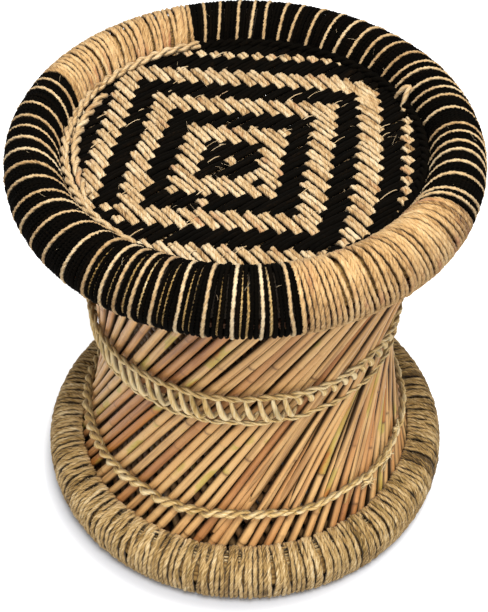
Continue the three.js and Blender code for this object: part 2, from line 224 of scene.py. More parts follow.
def wander(rng, count, knots, amount):
    """A smooth random walk round zero, with as many bends as knots."""
    knots = max(2, int(knots))
    return np.interp(
        np.linspace(0, 1, count), np.linspace(0, 1, knots + 1), rng.normal(0, amount, knots + 1)
    )


def run_of(points):
    """The length along a line up to each of its points."""
    steps = np.linalg.norm(np.diff(points, axis=0), axis=1)
    return np.concatenate([[0], np.cumsum(steps)])


def spaced(points, step):
    """The same line with points an even step apart."""
    run = run_of(points)
    count = max(2, int(round(run[-1] / step)) + 1)
    even = np.linspace(0, run[-1], count)
    return np.stack([np.interp(even, run, points[:, i]) for i in range(points.shape[1])], -1)


def rounded(corners, step, closed=False):
    """A smooth line through corners, with points an even step apart."""
    corners = np.asarray(corners, float)
    if closed:
        corners = np.concatenate([corners[-1:], corners, corners[:2]])
    else:
        corners = np.concatenate([corners[:1], corners, corners[-1:]])
    t = np.linspace(0, 1, 12, endpoint=False)[:, None]
    line = []
    for a, b, c, d in zip(corners, corners[1:], corners[2:], corners[3:]):
        line.append(
            0.5
            * (
                2 * b
                + (c - a) * t
                + (2 * a - 5 * b + 4 * c - d) * t**2
                + (3 * b - a - 3 * c + d) * t**3
            )
        )
    line.append(corners[-2][None])
    return spaced(np.concatenate(line), step)


# Strands: cords, ropes and reeds as swept sections


@dataclass
class Strand:
    """One cord or reed: the points it runs through, and what changes along it."""

    points: np.ndarray
    radius: np.ndarray
    tilt: np.ndarray
    tone: np.ndarray
    tint: np.ndarray
    mark: np.ndarray
    closed: bool


def strand(points, radius, lay=0.0, phase=0.0, tone=0.5, tint=0.5, mark=0.0, closed=False):
    """A strand whose section turns once in each lay. Its open ends close to a point."""
    points = np.asarray(points, float)
    radius, tone, tint, mark = (
        np.broadcast_to(np.asarray(value, float), len(points)).copy()
        for value in (radius, tone, tint, mark)
    )
    if not closed:
        first, last = points[0] - points[1], points[-1] - points[-2]
        first = points[0] + first / np.linalg.norm(first) * radius[0] / 2
        last = points[-1] + last / np.linalg.norm(last) * radius[-1] / 2
        points = np.concatenate([first[None], points, last[None]])
        radius = np.concatenate([[0], radius, [0]])
        tone, tint, mark = (np.concatenate([v[:1], v, v[-1:]]) for v in (tone, tint, mark))
    tilt = phase + (run_of(points) / lay * TURN if lay else np.zeros(len(points)))
    return Strand(points, radius, tilt, tone, tint, mark, closed)


def whole_laps(points, lay):
    """The tilt along a closed strand, whose section turns a whole number of times."""
    laps = round(run_of(points)[-1] / lay)
    return np.arange(len(points)) / len(points) * laps * TURN


def own_tint(rng):
    """A number that gives a strand a stretch of the noise to itself."""
    return rng.uniform(0, TINTS)


def ply_section(name, plies, sides, pinch, flat):
    """A section for sweeping: round or flat, and drawn in between its plies."""
    curve = bpy.data.curves.new(name, "CURVE")
    curve.dimensions = "2D"
    spline = curve.splines.new("POLY")
    spline.points.add(sides - 1)
    spline.use_cyclic_u = True
    for i, point in enumerate(spline.points):
        angle = TURN * i / sides
        reach = 1 - pinch * (1 - abs(math.cos(plies * angle / 2)))
        point.co = (reach * math.cos(angle), flat * reach * math.sin(angle), 0, 1)
    section = bpy.data.objects.new(name, curve)
    bpy.context.scene.collection.objects.link(section)
    return section


def swept(name, strands, plies=2, sides=8, pinch=0.38, flat=1.0):
    """One mesh object of many strands, with their run, tone, tint and mark as attributes.
    Strands with a flat section lie flat."""
    section = ply_section(name + "_section", plies, sides, pinch, flat)
    curve = bpy.data.curves.new(name + "_route", "CURVE")
    curve.dimensions = "3D"
    curve.bevel_mode = "OBJECT"
    curve.bevel_object = section
    curve.twist_mode = "Z_UP" if flat != 1.0 else "MINIMUM"
    for one in strands:
        spline = curve.splines.new("POLY")
        spline.points.add(len(one.points) - 1)
        spline.use_cyclic_u = one.closed
        places = np.ones((len(one.points), 4))
        places[:, :3] = one.points
        spline.points.foreach_set("co", places.ravel())
        spline.points.foreach_set("radius", one.radius)
        spline.points.foreach_set("tilt", one.tilt)
    route = bpy.data.objects.new(name + "_route", curve)
    bpy.context.scene.collection.objects.link(route)
    bpy.context.view_layer.update()
    graph = bpy.context.evaluated_depsgraph_get()
    mesh = bpy.data.meshes.new_from_object(route.evaluated_get(graph))
    for spare in (route, section):
        bpy.data.objects.remove(spare)
    values = {
        "run": [run_of(one.points) for one in strands],
        "tone": [one.tone for one in strands],
        "tint": [one.tint for one in strands],
        "mark": [one.mark for one in strands],
    }
    for label, parts in values.items():
        data = np.repeat(np.concatenate(parts), sides).astype(np.float32)
        if len(data) != len(mesh.vertices):
            raise RuntimeError(f"{name}: {len(mesh.vertices)} points for {len(data)} values")
        mesh.attributes.new(label, "FLOAT", "POINT").data.foreach_set("value", data)
    return finished_mesh(name, mesh)


def finished_mesh(name, mesh):
    """The mesh as a smooth object, with its poles closed and its faces pointing out."""
    bm = bmesh.new()
    bm.from_mesh(mesh)
    bmesh.ops.remove_doubles(bm, verts=bm.verts, dist=1e-6)
    if bm.calc_volume(signed=True) < 0:
        bmesh.ops.reverse_faces(bm, faces=bm.faces)
    bm.to_mesh(mesh)
    bm.free()
    mesh.shade_smooth()
    mesh.name = name
    piece = bpy.data.objects.new(name, mesh)
    bpy.context.scene.collection.objects.link(piece)
    return piece


def dress(piece, material, slot, *nodes):
    """Gives a piece its finish and its place in the frame."""
    piece.data.materials.clear()
    piece.data.materials.append(material)
    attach(piece, "root")
    if nodes:
        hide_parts(*nodes)
    return piece


# Materials


# Colour of the painted shade in creases, where a surface turns away from its core
PAINTED_SHADE_CODE = "1d0f05"
# Middles of the rim's and the base's sections, as radius and height, from which the painted crease shade
# is measured
RIM_CORE = (0.158, 0.339)
BASE_CORE = (0.161, 0.02)
# Patterns along a strand, and then patterns in space, in repeats per metre
FIBRE_STREAKS, FIBRE_BLUSHES, BLACK_STREAKS, REED_STREAKS, REED_PATCHES = 110, 28, 500, 9.0, 22.0
FIBRE_STAINS, REED_SPECKS, STALKS = 55.0, 420.0, 420.0
# How much of a ramp the stains of a fibre span
STAIN_DEPTH = 0.4


class Tree:
    """A node tree, with short calls for its nodes."""

    def __init__(self, tree):
        self.nodes = tree.nodes
        self.links = tree.links

    def add(self, kind, inputs=None, **settings):
        """A node with its settings, and its inputs as numbers or other nodes' outputs."""
        node = self.nodes.new(kind)
        for key, value in settings.items():
            setattr(node, key, value)
        for key, value in (inputs or {}).items():
            if isinstance(value, bpy.types.NodeSocket):
                self.links.new(value, node.inputs[key])
            else:
                node.inputs[key].default_value = value
        return node

    def math(self, operation, a, b=0.0):
        return self.add("ShaderNodeMath", {0: a, 1: b}, operation=operation).outputs[0]

    def seen(self):
        """1 for camera, glossy and transmission rays, and 0 for the rays that light the object."""
        rays = self.add("ShaderNodeLightPath").outputs
        seen = self.math("MAXIMUM", rays["Is Camera Ray"], rays["Is Glossy Ray"])
        return self.math("MAXIMUM", seen, rays["Is Transmission Ray"])


class Recipe(Tree):
    """A material's node tree, from places on the surface to its colour and bumps."""

    def __init__(self, name, roughness, gloss):
        self.material = bpy.data.materials.new(name)
        self.material.use_nodes = True
        super().__init__(self.material.node_tree)
        self.surface = self.nodes["Principled BSDF"]
        self.set("Roughness", roughness)
        self.set("Specular IOR Level", gloss)

    def set(self, socket, value):
        self.surface.inputs[socket].default_value = value

    def read(self, name):
        return self.add("ShaderNodeAttribute", attribute_name=name).outputs["Fac"]

    def sum(self, a, b, c=None):
        """a + b, or a * b + c where c is given."""
        if c is None:
            return self.math("ADD", a, b)
        return self.add("ShaderNodeMath", {0: a, 1: b, 2: c}, operation="MULTIPLY_ADD").outputs[0]

    def times(self, a, b):
        return self.math("MULTIPLY", a, b)

    def vector(self, x, y, z):
        return self.add("ShaderNodeCombineXYZ", {0: x, 1: y, 2: z}).outputs[0]

    def part(self, vector, index):
        return self.add("ShaderNodeSeparateXYZ", {0: vector}).outputs[index]

    def vectors(self, operation, a, b=(0, 0, 0), output="Vector"):
        return self.add("ShaderNodeVectorMath", {0: a, 1: b}, operation=operation).outputs[output]

    def noise(self, vector, scale, detail):
        node = self.add("ShaderNodeTexNoise", {"Vector": vector, "Scale": scale, "Detail": detail})
        return node.outputs["Fac"]

    def along(self, repeats, across, third, detail):
        """Noise that runs along a strand, with its repeats per metre and its place across."""
        lines = self.vector(self.times(self.read("run"), repeats), across, third)
        return self.noise(lines, 1.0, detail)

    def place(self):
        return self.add("ShaderNodeTexCoord").outputs["Object"]

    def round(self):
        """How far round the section, from 0 to 1."""
        return self.part(self.add("ShaderNodeUVMap").outputs[0], 1)

    def rise(self, value, low, high, top=1.0):
        """0 at low and top at high."""
        inputs = {"Value": value, "From Min": low, "From Max": high, "To Max": top}
        return self.add("ShaderNodeMapRange", inputs).outputs[0]

    def facing(self, core):
        """How squarely the surface faces away from its core, from -1 to 1. The core is a ring's
        radius and height, or "axis" for the stool's axis, or "floor" for what lies flat."""
        normal = self.add("ShaderNodeNewGeometry").outputs["Normal"]
        if core == "floor":
            return self.part(normal, 2)
        flat = self.vectors("MULTIPLY", self.place(), (1, 1, 0))
        if core != "axis":
            radius, height = core
            ring = self.vectors("MULTIPLY", self.vectors("NORMALIZE", flat), (radius, radius, 0))
            flat = self.vectors("SUBTRACT", self.place(), self.vectors("ADD", ring, (0, 0, height)))
        return self.vectors("DOT_PRODUCT", normal, self.vectors("NORMALIZE", flat), output="Value")

    def mix(self, share, a, b):
        """Two colours mixed by a share, each a screen colour's code or another node's output."""
        a, b = ([*hexed(one), 1] if isinstance(one, str) else one for one in (a, b))
        return self.add("ShaderNodeMix", {0: share, 6: a, 7: b}, data_type="RGBA").outputs[2]

    def painted_crease_shade(self, body, core, depth, low=0.05, high=0.75):
        """The colour, darker by up to depth where the surface turns away into a crease."""
        return self.mix(self.rise(self.facing(core), high, low, depth), body, PAINTED_SHADE_CODE)

    def ramp(self, value, stops):
        """A ramp through stops, each a place and a linear colour."""
        node = self.add("ShaderNodeValToRGB", {"Fac": value})
        elements = node.color_ramp.elements
        while len(elements) < len(stops):
            elements.new(0.5)
        for element, (place, body) in zip(elements, stops):
            element.position = place
            element.color = [*body, 1]
        return node.outputs["Color"]

    def paint(self, value):
        self.links.new(value, self.surface.inputs["Base Color"])

    def bump(self, height, distance, strength):
        inputs = {"Height": height, "Distance": distance, "Strength": strength}
        self.links.new(self.add("ShaderNodeBump", inputs).outputs[0], self.surface.inputs["Normal"])


def fibre_finish(name, stops, mark_code, streaks, core, depth, grain=1.3):
    """Twisted plant fibre: streaks that follow the plies, tone from cord to cord, and stains."""
    recipe = Recipe(name, roughness=0.9, gloss=0.25)
    recipe.set("Sheen Weight", 0.08)
    recipe.set("Sheen Roughness", 0.6)
    tint = recipe.read("tint")
    streak = recipe.along(FIBRE_STREAKS, recipe.times(recipe.round(), streaks), tint, detail=4.0)
    stain = recipe.noise(recipe.place(), FIBRE_STAINS, detail=3.0)
    stained_and_shaded = recipe.sum(stain, STAIN_DEPTH, -(STAIN_DEPTH + grain) / 2)
    body = recipe.ramp(recipe.sum(recipe.sum(streak, grain, stained_and_shaded), recipe.read("tone")), stops)
    blush = recipe.along(FIBRE_BLUSHES, tint, tint, detail=2.0)
    marks = recipe.sum(recipe.rise(blush, low=0.58, high=0.75, top=0.5), recipe.read("mark"))
    # Painted shade darkens the creases between turns and cords
    recipe.paint(recipe.painted_crease_shade(recipe.mix(marks, body, mark_code), core, depth))
    recipe.bump(streak, distance=0.0005, strength=0.8)
    return recipe.material


def black_finish(name, stops):
    """Matt black cord, with fine streaks along it."""
    recipe = Recipe(name, roughness=0.92, gloss=0.05)
    tone = recipe.read("tone")
    streak = recipe.along(BLACK_STREAKS, recipe.times(recipe.round(), 7.0), tone, detail=3.0)
    recipe.paint(recipe.ramp(recipe.sum(streak, 0.7, recipe.sum(tone, 0.6, -0.15)), stops))
    recipe.bump(streak, distance=0.0008, strength=0.7)
    return recipe.material


# Painted shade on the reeds under the waist's stitches: its middle height and half its reach
WAIST_PAINTED_SHADE = (0.1905, 0.0125)


def reed_finish(name, stops, dark_code, shade):
    """Dry cane skin: fine streaks along the reed, brown joints and weather stains."""
    recipe = Recipe(name, roughness=0.5, gloss=0.35)
    tint = recipe.read("tint")
    streak = recipe.along(REED_STREAKS, recipe.times(recipe.round(), 8.0), tint, detail=4.0)
    patch = recipe.along(REED_PATCHES, recipe.round(), tint, detail=3.0)
    body = recipe.ramp(recipe.sum(recipe.sum(patch, 0.7, -0.35), tint), stops)
    light = recipe.sum(recipe.sum(streak, 2.4, recipe.sum(patch, 0.9, -1.57)), recipe.read("tone"))
    clamped = recipe.add("ShaderNodeClamp", {"Value": light}).outputs[0]
    shaded = recipe.mix(clamped, dark_code, body)
    speck = recipe.noise(recipe.place(), REED_SPECKS, detail=2.0)
    stained_and_shaded = recipe.mix(recipe.rise(speck, low=0.68, high=0.76, top=0.5), shaded, "6d4420")
    marked = recipe.mix(recipe.read("mark"), stained_and_shaded, "5d3817")
    # Below a shade of 1 the skin is painted darker: painted shade for the inner reeds, which lie behind
    # the outer layer
    shaded = recipe.mix(1 - shade, marked, "2a1206")
    # Painted shade in a band under the waist's stitches
    middle, reach = WAIST_PAINTED_SHADE
    off = recipe.math("ABSOLUTE", recipe.sum(recipe.part(recipe.place(), 2), -middle))
    under = recipe.rise(off, low=reach * 1.25, high=reach * 0.6, top=0.12)
    stained_and_shaded = recipe.mix(under, shaded, "2a1807")
    # Painted shade where the reed's surface turns away from the axis, into the creases between reeds
    recipe.paint(recipe.painted_crease_shade(stained_and_shaded, "axis", depth=0.96, low=0.18, high=0.76))
    recipe.bump(streak, distance=0.0008, strength=0.8)
    return recipe.material


# Where the padding lies under jute, as shares of a turn from the back
JUTE_LENGTHS = ((0.0, 1), (0.0465, 0), (0.186, 1), (0.533, 0), (0.662, 1), (1.0, 1))


def bundle_finish(name, stops, lengths):
    """Dry grass stalks that run round a bundle, sooty from the black cord outside the lengths."""
    recipe = Recipe(name, roughness=0.85, gloss=0.5)
    spot = recipe.place()
    away = recipe.vectors("LENGTH", spot, output="Value")
    lines = recipe.vector(recipe.times(recipe.part(spot, 2), STALKS), recipe.times(away, STALKS), 0.0)
    stalk = recipe.noise(lines, 1.0, detail=2.0)
    body = recipe.ramp(stalk, stops)
    if lengths:
        angle = recipe.math("ARCTAN2", recipe.part(spot, 0), recipe.times(recipe.part(spot, 1), -1))
        share = recipe.math("FRACT", recipe.times(angle, 1 / TURN))
        under_black_cord = recipe.ramp(share, [(place, [dark] * 3) for place, dark in lengths])
        under_black_cord.node.color_ramp.interpolation = "CONSTANT"
        body = recipe.mix(recipe.times(under_black_cord, 0.93), body, "060403")
    recipe.paint(body)
    recipe.bump(stalk, distance=0.001, strength=0.8)
    return recipe.material


SHADES = {
    "jute": ((0.08, "5d3f1d"), (0.3, "a37a47"), (0.5, "c9a069"), (0.72, "dab47d"), (0.95, "e8cb99")),
    "pale": ((0.08, "624524"), (0.3, "a37d4c"), (0.5, "c5a170"), (0.72, "d6b787"), (0.95, "e8d0a8")),
    "straw": ((0.08, "4a3719"), (0.3, "90703c"), (0.5, "b99861"), (0.72, "d0b27f"), (0.95, "ead4a8")),
    "twine": ((0.08, "634a1c"), (0.3, "aa8648"), (0.5, "d0aa69"), (0.72, "e3c284"), (0.95, "f2daaa")),
    "black": ((0.2, "010100"), (0.6, "080502"), (0.95, "1d1308")),
    "reed": (
        (0.0, "ad7240"), (0.2, "c58b53"), (0.4, "d29c61"), (0.62, "dcab6d"), (0.84, "e2b679"),
        (0.88, "c5ac58"), (0.93, "c19b47"), (0.97, "bb7937"),
    ),
    "stalk": ((0.3, "4a3014"), (0.48, "8f6a35"), (0.6, "b58f50"), (0.75, "c9a566")),
}
FINISHES = {}


def shades(name):
    """A ramp's places and colours, moved as far as the user moved the main colour."""
    moved = np.array(tuple(getattr(bpy.context.scene.stool_colours, name))) / hexed(MAIN_CODES[name])
    return [(place, moved * hexed(code)) for place, code in SHADES[name]]


def finish(name):
    """The stool's finishes, each made once."""
    if name in FINISHES:
        return FINISHES[name]
    jute, pale, straw, twine, black, reed, stalk = (shades(one) for one in SHADES)
    # Each fibre finish's core and depth set its painted crease shade
    made = {
        "jute": lambda: fibre_finish("jute_cord", jute, "a8583c", 12.0, RIM_CORE, 0.4, 1.5),
        "stripe": lambda: fibre_finish("stripe_cord", pale, "9a6a3c", 12.0, RIM_CORE, 0.6),
        "seat": lambda: fibre_finish("seat_cord", pale, "b0683f", 15.0, "floor", 0.55, 1.9),
        "straw": lambda: fibre_finish("straw_rope", straw, "6f5a22", 15.0, BASE_CORE, 0.8, 2.0),
        "twine": lambda: fibre_finish("straw_twine", twine, "7a6428", 12.0, "axis", 0.6, 1.8),
        "black": lambda: black_finish("black_cord", black),
        "padding": lambda: bundle_finish("rim_padding", stalk, JUTE_LENGTHS),
        "reed": lambda: reed_finish("reed_skin", reed, "6b3d18", 1.0),
        # The inner reeds' skin is a darker copy of the reeds' skin: painted shade for reeds that lie
        # behind the outer layer
        "inner_reed": lambda: reed_finish("inner_reed_skin", reed, "4c2810", 0.24),
        "cane": lambda: reed_finish("hoop_cane", reed, "7c4a22", 0.8),
        "bundle": lambda: bundle_finish("grass_bundle", stalk, None),
    }
    FINISHES[name] = made[name]()
    return FINISHES[name]


# Reeds


@dataclass
class Layer:
    """One layer of the cage: straight reeds that pass the waist radius on their way up."""

    waist_radius: float
    waist_height: float
    slope: float
    sense: int
    hands: int
    pitch: float
    per_hand: int

    def radius_at(self, height):
        return np.hypot(self.waist_radius, self.slope * (height - self.waist_height))

    def angles(self, hand):
        start = TURN * hand / self.hands
        return [start + i * self.pitch for i in range(self.per_hand)]

    def angle_at(self, angle, height):
        """Where a reed that passes the waist at an angle is at a height."""
        drift = self.sense * self.slope * (height - self.waist_height) / self.waist_radius
        return angle + np.arctan(drift)


def layer_of(sizes, step, sense, hands):
    """The layer whose middle lies a step inside the outer one."""
    foot = sizes.foot_radius - step * (sizes.lean_share if step else 1)
    top = sizes.top_radius - step * (sizes.lean_share if step else 1)
    waist = sizes.waist_radius - step
    foot_run = math.sqrt(foot**2 - waist**2)
    top_run = math.sqrt(top**2 - waist**2)
    height = sizes.top_height - sizes.foot_height
    slope = (foot_run + top_run) / height
    pitch = (sizes.reed_diameter - sizes.reed_bite) * math.hypot(1, slope) / waist
    per_hand = int(TURN / hands / pitch)
    waist_height = sizes.foot_height + height * foot_run / (foot_run + top_run)
    return Layer(waist, waist_height, slope, sense, hands, pitch, per_hand)


def outer_layer():
    sizes = bpy.context.scene.stool_cage
    return layer_of(sizes, 0.0, 1, sizes.outer_hands)


def inner_layer():
    sizes = bpy.context.scene.stool_cage
    return layer_of(sizes, sizes.layer_step, -1, sizes.inner_hands)


# Where a reed has points of its own beside a joint, as shares of its thickness
JOINT_STEPS_SHARES = (-0.9, -0.3, -0.14, -0.05, 0.05, 0.14, 0.3, 0.9)
# In metres: the least step along a reed, and then the gap above it, its sway, its slant over a
# height, and its sink
LEAST_STEP = 0.0002
TIP_GAP, REED_SWAY, REED_SLANT, SLANT_HEIGHT, REED_SINK = 0.001, 0.0005, 0.0011, 0.15, 0.0009
# In metres: the least and most that a leaf sheath reaches above its joint, and points at its end
SHEATH_LENGTHS, SHEATH_STEPS = (0.01, 0.034), (-0.0003, 0.0003, 0.0012)
# Shares of a reed's thickness that a sheath and a joint add, and a joint's neck takes away
SHEATH_SHARE, JOINT_SHARE, NECK_SHARE = 0.07, 0.05, 0.02
# Towards this side the reeds are paler, and the outer ones thicker
FULL_SIDE_DEG = 45
# Shares of the reed's named thickness: the outer layer's range, what the full side adds to its
# low end, and the inner layer's
OUTER_WIDTH_SHARES, FULL_SIDE_SHARE, INNER_WIDTH_SHARE = (0.81, 0.97), 0.12, 1.04


def reed_strand(rng, layer, angle):
    """A reed with its joints, a slight bend, and a tone of its own."""
    sizes = bpy.context.scene.stool_cage
    low, high = sizes.foot_height, sizes.top_height - TIP_GAP
    spacing = sizes.joint_spacing
    joints = np.arange(low + rng.uniform(0.1, 0.9) * spacing, high, spacing * rng.uniform(0.8, 1.15))
    around = [joint + share * sizes.reed_diameter for joint in joints for share in JOINT_STEPS_SHARES]
    ends = joints + rng.uniform(*SHEATH_LENGTHS, len(joints))
    ends[rng.uniform(size=len(joints)) < 0.5] = 0.0
    around += [end + step for end in ends for step in SHEATH_STEPS]
    heights = np.unique(np.clip(np.concatenate([np.linspace(low, high, 22), around]), low, high))
    heights = heights[np.concatenate([[True], np.diff(heights) > LEAST_STEP])]
    above_waist = heights - layer.waist_height
    face, side = outward(np.array(angle)), sideways(np.array(angle))
    bend = np.interp(heights, np.linspace(low, high, 6), rng.normal(0, REED_SWAY, 6))
    bend = bend + rng.normal(0, REED_SLANT) * above_waist / SLANT_HEIGHT
    sink = rng.uniform(0, REED_SINK)
    if layer.sense < 0:
        bend, sink = bend * 0, 0.0
    points = (layer.waist_radius - sink + 0.6 * bend)[:, None] * face
    points = points + (layer.sense * layer.slope * above_waist + bend)[:, None] * side
    points[:, 2] = heights
    away = np.abs(heights[:, None] - joints[None]).min(1) / sizes.reed_diameter
    knuckle, neck = np.exp(-((away / 0.25) ** 2)), np.exp(-(((away - 0.4) / 0.2) ** 2))
    bulge = 1 + JOINT_SHARE * knuckle - NECK_SHARE * neck
    taper = np.interp(heights, [low, high], rng.permutation([1.0, rng.uniform(0.9, 0.98)]))
    full = 0.5 + 0.5 * math.cos(angle - math.radians(FULL_SIDE_DEG))
    slimmest, widest = OUTER_WIDTH_SHARES
    width = INNER_WIDTH_SHARE
    if layer.sense > 0:
        width = rng.uniform(slimmest + FULL_SIDE_SHARE * full**3, widest)
    sheathed = ((heights[:, None] > joints) & (heights[:, None] < ends)).any(1)
    radius = sizes.reed_diameter / 2 * bulge * taper * width * (1 + SHEATH_SHARE * sheathed)
    mark = rng.choice([0.15, 0.45, 0.8]) * np.exp(-((away / 0.13) ** 2))
    internode = np.searchsorted(joints, heights)
    tone = rng.normal(0.84 + 0.09 * full, 0.08) + rng.normal(0, 0.06, len(joints) + 1)[internode]
    tone = tone + rng.normal(0, 0.12) * sheathed
    tint = rng.choice([rng.uniform(0.2, 0.8), rng.uniform(0, 1)], p=[0.75, 0.25])
    tint = tint + rng.normal(0, 0.06, len(joints) + 1)[internode]
    return strand(points, radius, phase=rng.uniform(0, TURN), tone=tone, tint=tint, mark=mark)


def build_reeds():
    rng = np.random.default_rng(SEED)
    layers = [
        ("outer_reeds", outer_layer(), "reed", "reed"),
        ("inner_reeds", inner_layer(), "inner_reed", "reed_inside"),
    ]
    for name, layer, look, slot in layers:
        for hand in range(layer.hands):
            strands = [reed_strand(rng, layer, angle) for angle in layer.angles(hand)]
            number = f"{hand + 1:02d}"
            piece = swept(f"{name}_skin_{number}", strands, plies=1, sides=10, pinch=0.0)
            dress(piece, finish(look), slot, f"{name}_{number}")


# Rolls and the cords wound round them

# Angles are read at the rim's crest, in degrees
JUTE_FRONT_DEG = (11.3, 58.8)
JUTE_BACK_DEG = (196.6, 246.8)
STRIPES_BACK_DEG = (
    60.4, 63, 69, 74.5, 79, 83, 87, 90.8, 97.5, 103.4, 107, 111, 116, 120, 125, 131, 135.5, 140.5,
    146, 152, 157.3, 163.7, 167.7, 172.8, 177.6, 181.4, 187.2, 192.3,
)
STRIPES_FRONT_DEG = (
    250, 254.2, 260.5, 266.5, 270.7, 276, 280.6, 286.5, 292, 298, 303, 308.3, 314, 319.5, 325,
    329.5, 333, 336.8, 341.3, 346.8, 352.3, 358, 363.6, 369.4,
)
# How far a turn leans over half the section, by its place
LEAN_DEG = {
    0: 1, 10: -2, 20: -4, 40: -8, 50: -11, 60: -13, 70: -12, 76: -5, 82: -1, 90: 3, 98: 9, 115: 14,
    125: 10, 145: 7, 165: 3, 190: 4, 215: 2, 240: 3, 250: 6, 262: 9, 277: 12, 314: 10, 325: 6,
    340: 4, 350: 3, 360: 1,
}
# From here on, black cords lie open enough to show natural ones between them
OPEN_FROM_DEG = 322.0
# The base roll's section in metres: its belly, tuck and heel beside the inner lip, and its sole,
# toe, shoulder and crown in from the outside
BASE_BELLY, BASE_TUCK, BASE_HEEL = 0.016, 0.009, 0.002
BASE_SOLE, BASE_TOE, BASE_SHOULDER, BASE_CROWN = 0.018, 0.006, 0.005, 0.012


def rim_middle():
    """Radius and height of the middle of the rim's section."""
    rolls = bpy.context.scene.stool_rolls
    return rolls.rim_radius - rolls.rim_width / 2, rolls.rim_top - rolls.rim_height / 2


def reed_room(inset):
    """From the middle of a layer of reeds to the middle of a cord that lies against it."""
    cage = bpy.context.scene.stool_cage
    return cage.reed_diameter / 2 * cage.lean_share + inset


def rim_loop(inset, step):
    """The rim roll's section as a closed line of radius and height, from the reed mouth's
    ceiling down its outer wall, round the roll, and back up its inner wall."""
    rolls = bpy.context.scene.stool_rolls
    outer, inner = outer_layer(), inner_layer()
    half_width, half_height = rolls.rim_width / 2 - inset, rolls.rim_height / 2 - inset
    centre, middle = rim_middle()
    bottom = rolls.rim_top - rolls.rim_height
    room = reed_room(inset)
    ceiling = bpy.context.scene.stool_cage.top_height + inset
    turn = np.radians(np.arange(-75, 200, 12))
    bulge = np.stack([centre + half_width * np.cos(turn), middle + half_height * np.sin(turn)], -1)
    lip = inner.radius_at(bottom) - room
    corners = [
        (outer.radius_at(ceiling) + room, ceiling),
        (outer.radius_at(bottom) + room, bottom + 2 * inset),
        (outer.radius_at(bottom) + room + inset, bottom + inset),
        *bulge,
        (lip - rolls.ledge_width + inset, middle - half_height / 2),
        (lip - rolls.ledge_width / 2, bottom + 4 * inset),
        (lip - inset, bottom + 1.5 * inset),
        (lip, bottom + 2.5 * inset),
        (inner.radius_at(ceiling) - room, ceiling),
    ]
    return rounded(corners, step, closed=True)


def base_loop(inset, step):
    """The base roll's section in the same order."""
    rolls = bpy.context.scene.stool_rolls
    outer, inner = outer_layer(), inner_layer()
    room = reed_room(inset)
    high, wide = rolls.base_height, rolls.base_radius
    floor = bpy.context.scene.stool_cage.foot_height - inset
    lip = outer.radius_at(high) + room
    inner_lip = inner.radius_at(high) - room
    corners = [
        (outer.radius_at(floor) + room, floor),
        (inner.radius_at(floor) - room, floor),
        (inner_lip, high - 3 * inset),
        (inner_lip - 2 * inset, high - 3 * inset),
        (inner_lip - BASE_BELLY, high / 2),
        (inner_lip - BASE_TUCK, 1.8 * inset),
        (inner_lip + BASE_HEEL, inset),
        (wide - BASE_SOLE, inset),
        (wide - BASE_TOE, 2.4 * inset),
        (wide - inset, high * 0.5),
        (wide - BASE_SHOULDER, high * 0.78),
        (wide - BASE_CROWN, high - 1.2 * inset),
        (lip + inset, high - 0.8 * inset),
        (lip, high - inset),
    ]
    return rounded(corners, step, closed=True)


def rim_turn(loop):
    """Where each point of the rim's section lies, in degrees from the outside over the crest."""
    centre, middle = rim_middle()
    turn = np.degrees(np.arctan2(loop[:, 1] - middle, loop[:, 0] - centre))
    return np.clip(np.where(turn < -120, turn + 360, turn), -40, 200)


def lean_of(start, loop):
    """How far round each point of a leaning turn lies from its crest."""
    lean = np.interp(math.degrees(start) % 360, list(LEAN_DEG), list(LEAN_DEG.values()))
    return np.radians(lean) * (rim_turn(loop) - 90) / 180


# The back's jute turns are drawn together in groups of so many degrees. That starts at a place
# past the crest, grows over a stretch of the section, and ends at a share of the way.
GATHER_DEG, GATHER_FROM_DEG, GATHER_OVER_DEG, GATHER_SHARE = 3.4, 115, 55, 0.62


def gathered(start, loop):
    """How far a turn is drawn towards its group where the seat's braid ties it down."""
    group = math.radians(GATHER_DEG)
    middle = (math.floor(start / group) + 0.5) * group
    pull = np.clip((rim_turn(loop) - GATHER_FROM_DEG) / GATHER_OVER_DEG, 0, 1)
    return (middle - start) * GATHER_SHARE * pull


# How far a turn rises and falls, as a share of its radius, and how much its tone wanders
LIFT_SHARE, TONE_SWAY = 0.12, 0.06
# Where stains are frequent, and their chance there and elsewhere
STAINED_DEG, STAIN_CHANCES = (38, 60), (0.3, 0.05)
# Length of one turn of a cord's plies, in metres
JUTE_LAY, BLACK_LAY, STRIPE_LAY, SUNK_LAY, ROPE_LAY, TWINE_LAY = 0.017, 0.008, 0.015, 0.009, 0.022, 0.017


def turns_of(rng, loop, starts, pitch, radius, lay, tone, jitter, shift, rise=None):
    """Turns of cord round a section, each starting where its number in starts says. shift gives
    a turn's angles anew, and rise how far its points move out and up."""
    strands = []
    run = run_of(loop)
    share = run / run[-1]
    for start in starts:
        angle = start + pitch * (share - 0.5)
        angle = angle + wander(rng, len(loop), 7, jitter) * np.sin(np.pi * share)
        angle = shift(start, angle, share)
        lift = wander(rng, len(loop), 9, radius * LIFT_SHARE)
        out, up = rise(angle, share) if rise else (0.0, 0.0)
        points = on_ring(angle, loop[:, 0] + lift + out, loop[:, 1] + up)
        tones = tone(start) + wander(rng, len(loop), 6, TONE_SWAY)
        often = STAINED_DEG[0] < math.degrees(start) < STAINED_DEG[1]
        stain = rng.uniform() < STAIN_CHANCES[0 if often else 1]
        mark = stain * rng.uniform(0.2, 0.5) * np.exp(-(((share - rng.uniform(0.2, 0.6)) / 0.03) ** 2))
        thick = radius * rng.uniform(0.93, 1.07)
        strands.append(strand(points, thick, lay, rng.uniform(0, TURN), tones, own_tint(rng), mark))
    return strands


def leaning_turns(rng, loop, places_deg, radius, lay, tone, tone_sway, jitter_deg):
    """Single turns of cord round the rim, which lean as the real ones do at their places."""
    return turns_of(
        rng, loop, np.radians(places_deg), 0.0, radius, lay,
        lambda start: tone + rng.normal(0, tone_sway), math.radians(jitter_deg),
        lambda start, angle, share: angle + lean_of(start, loop),
    )


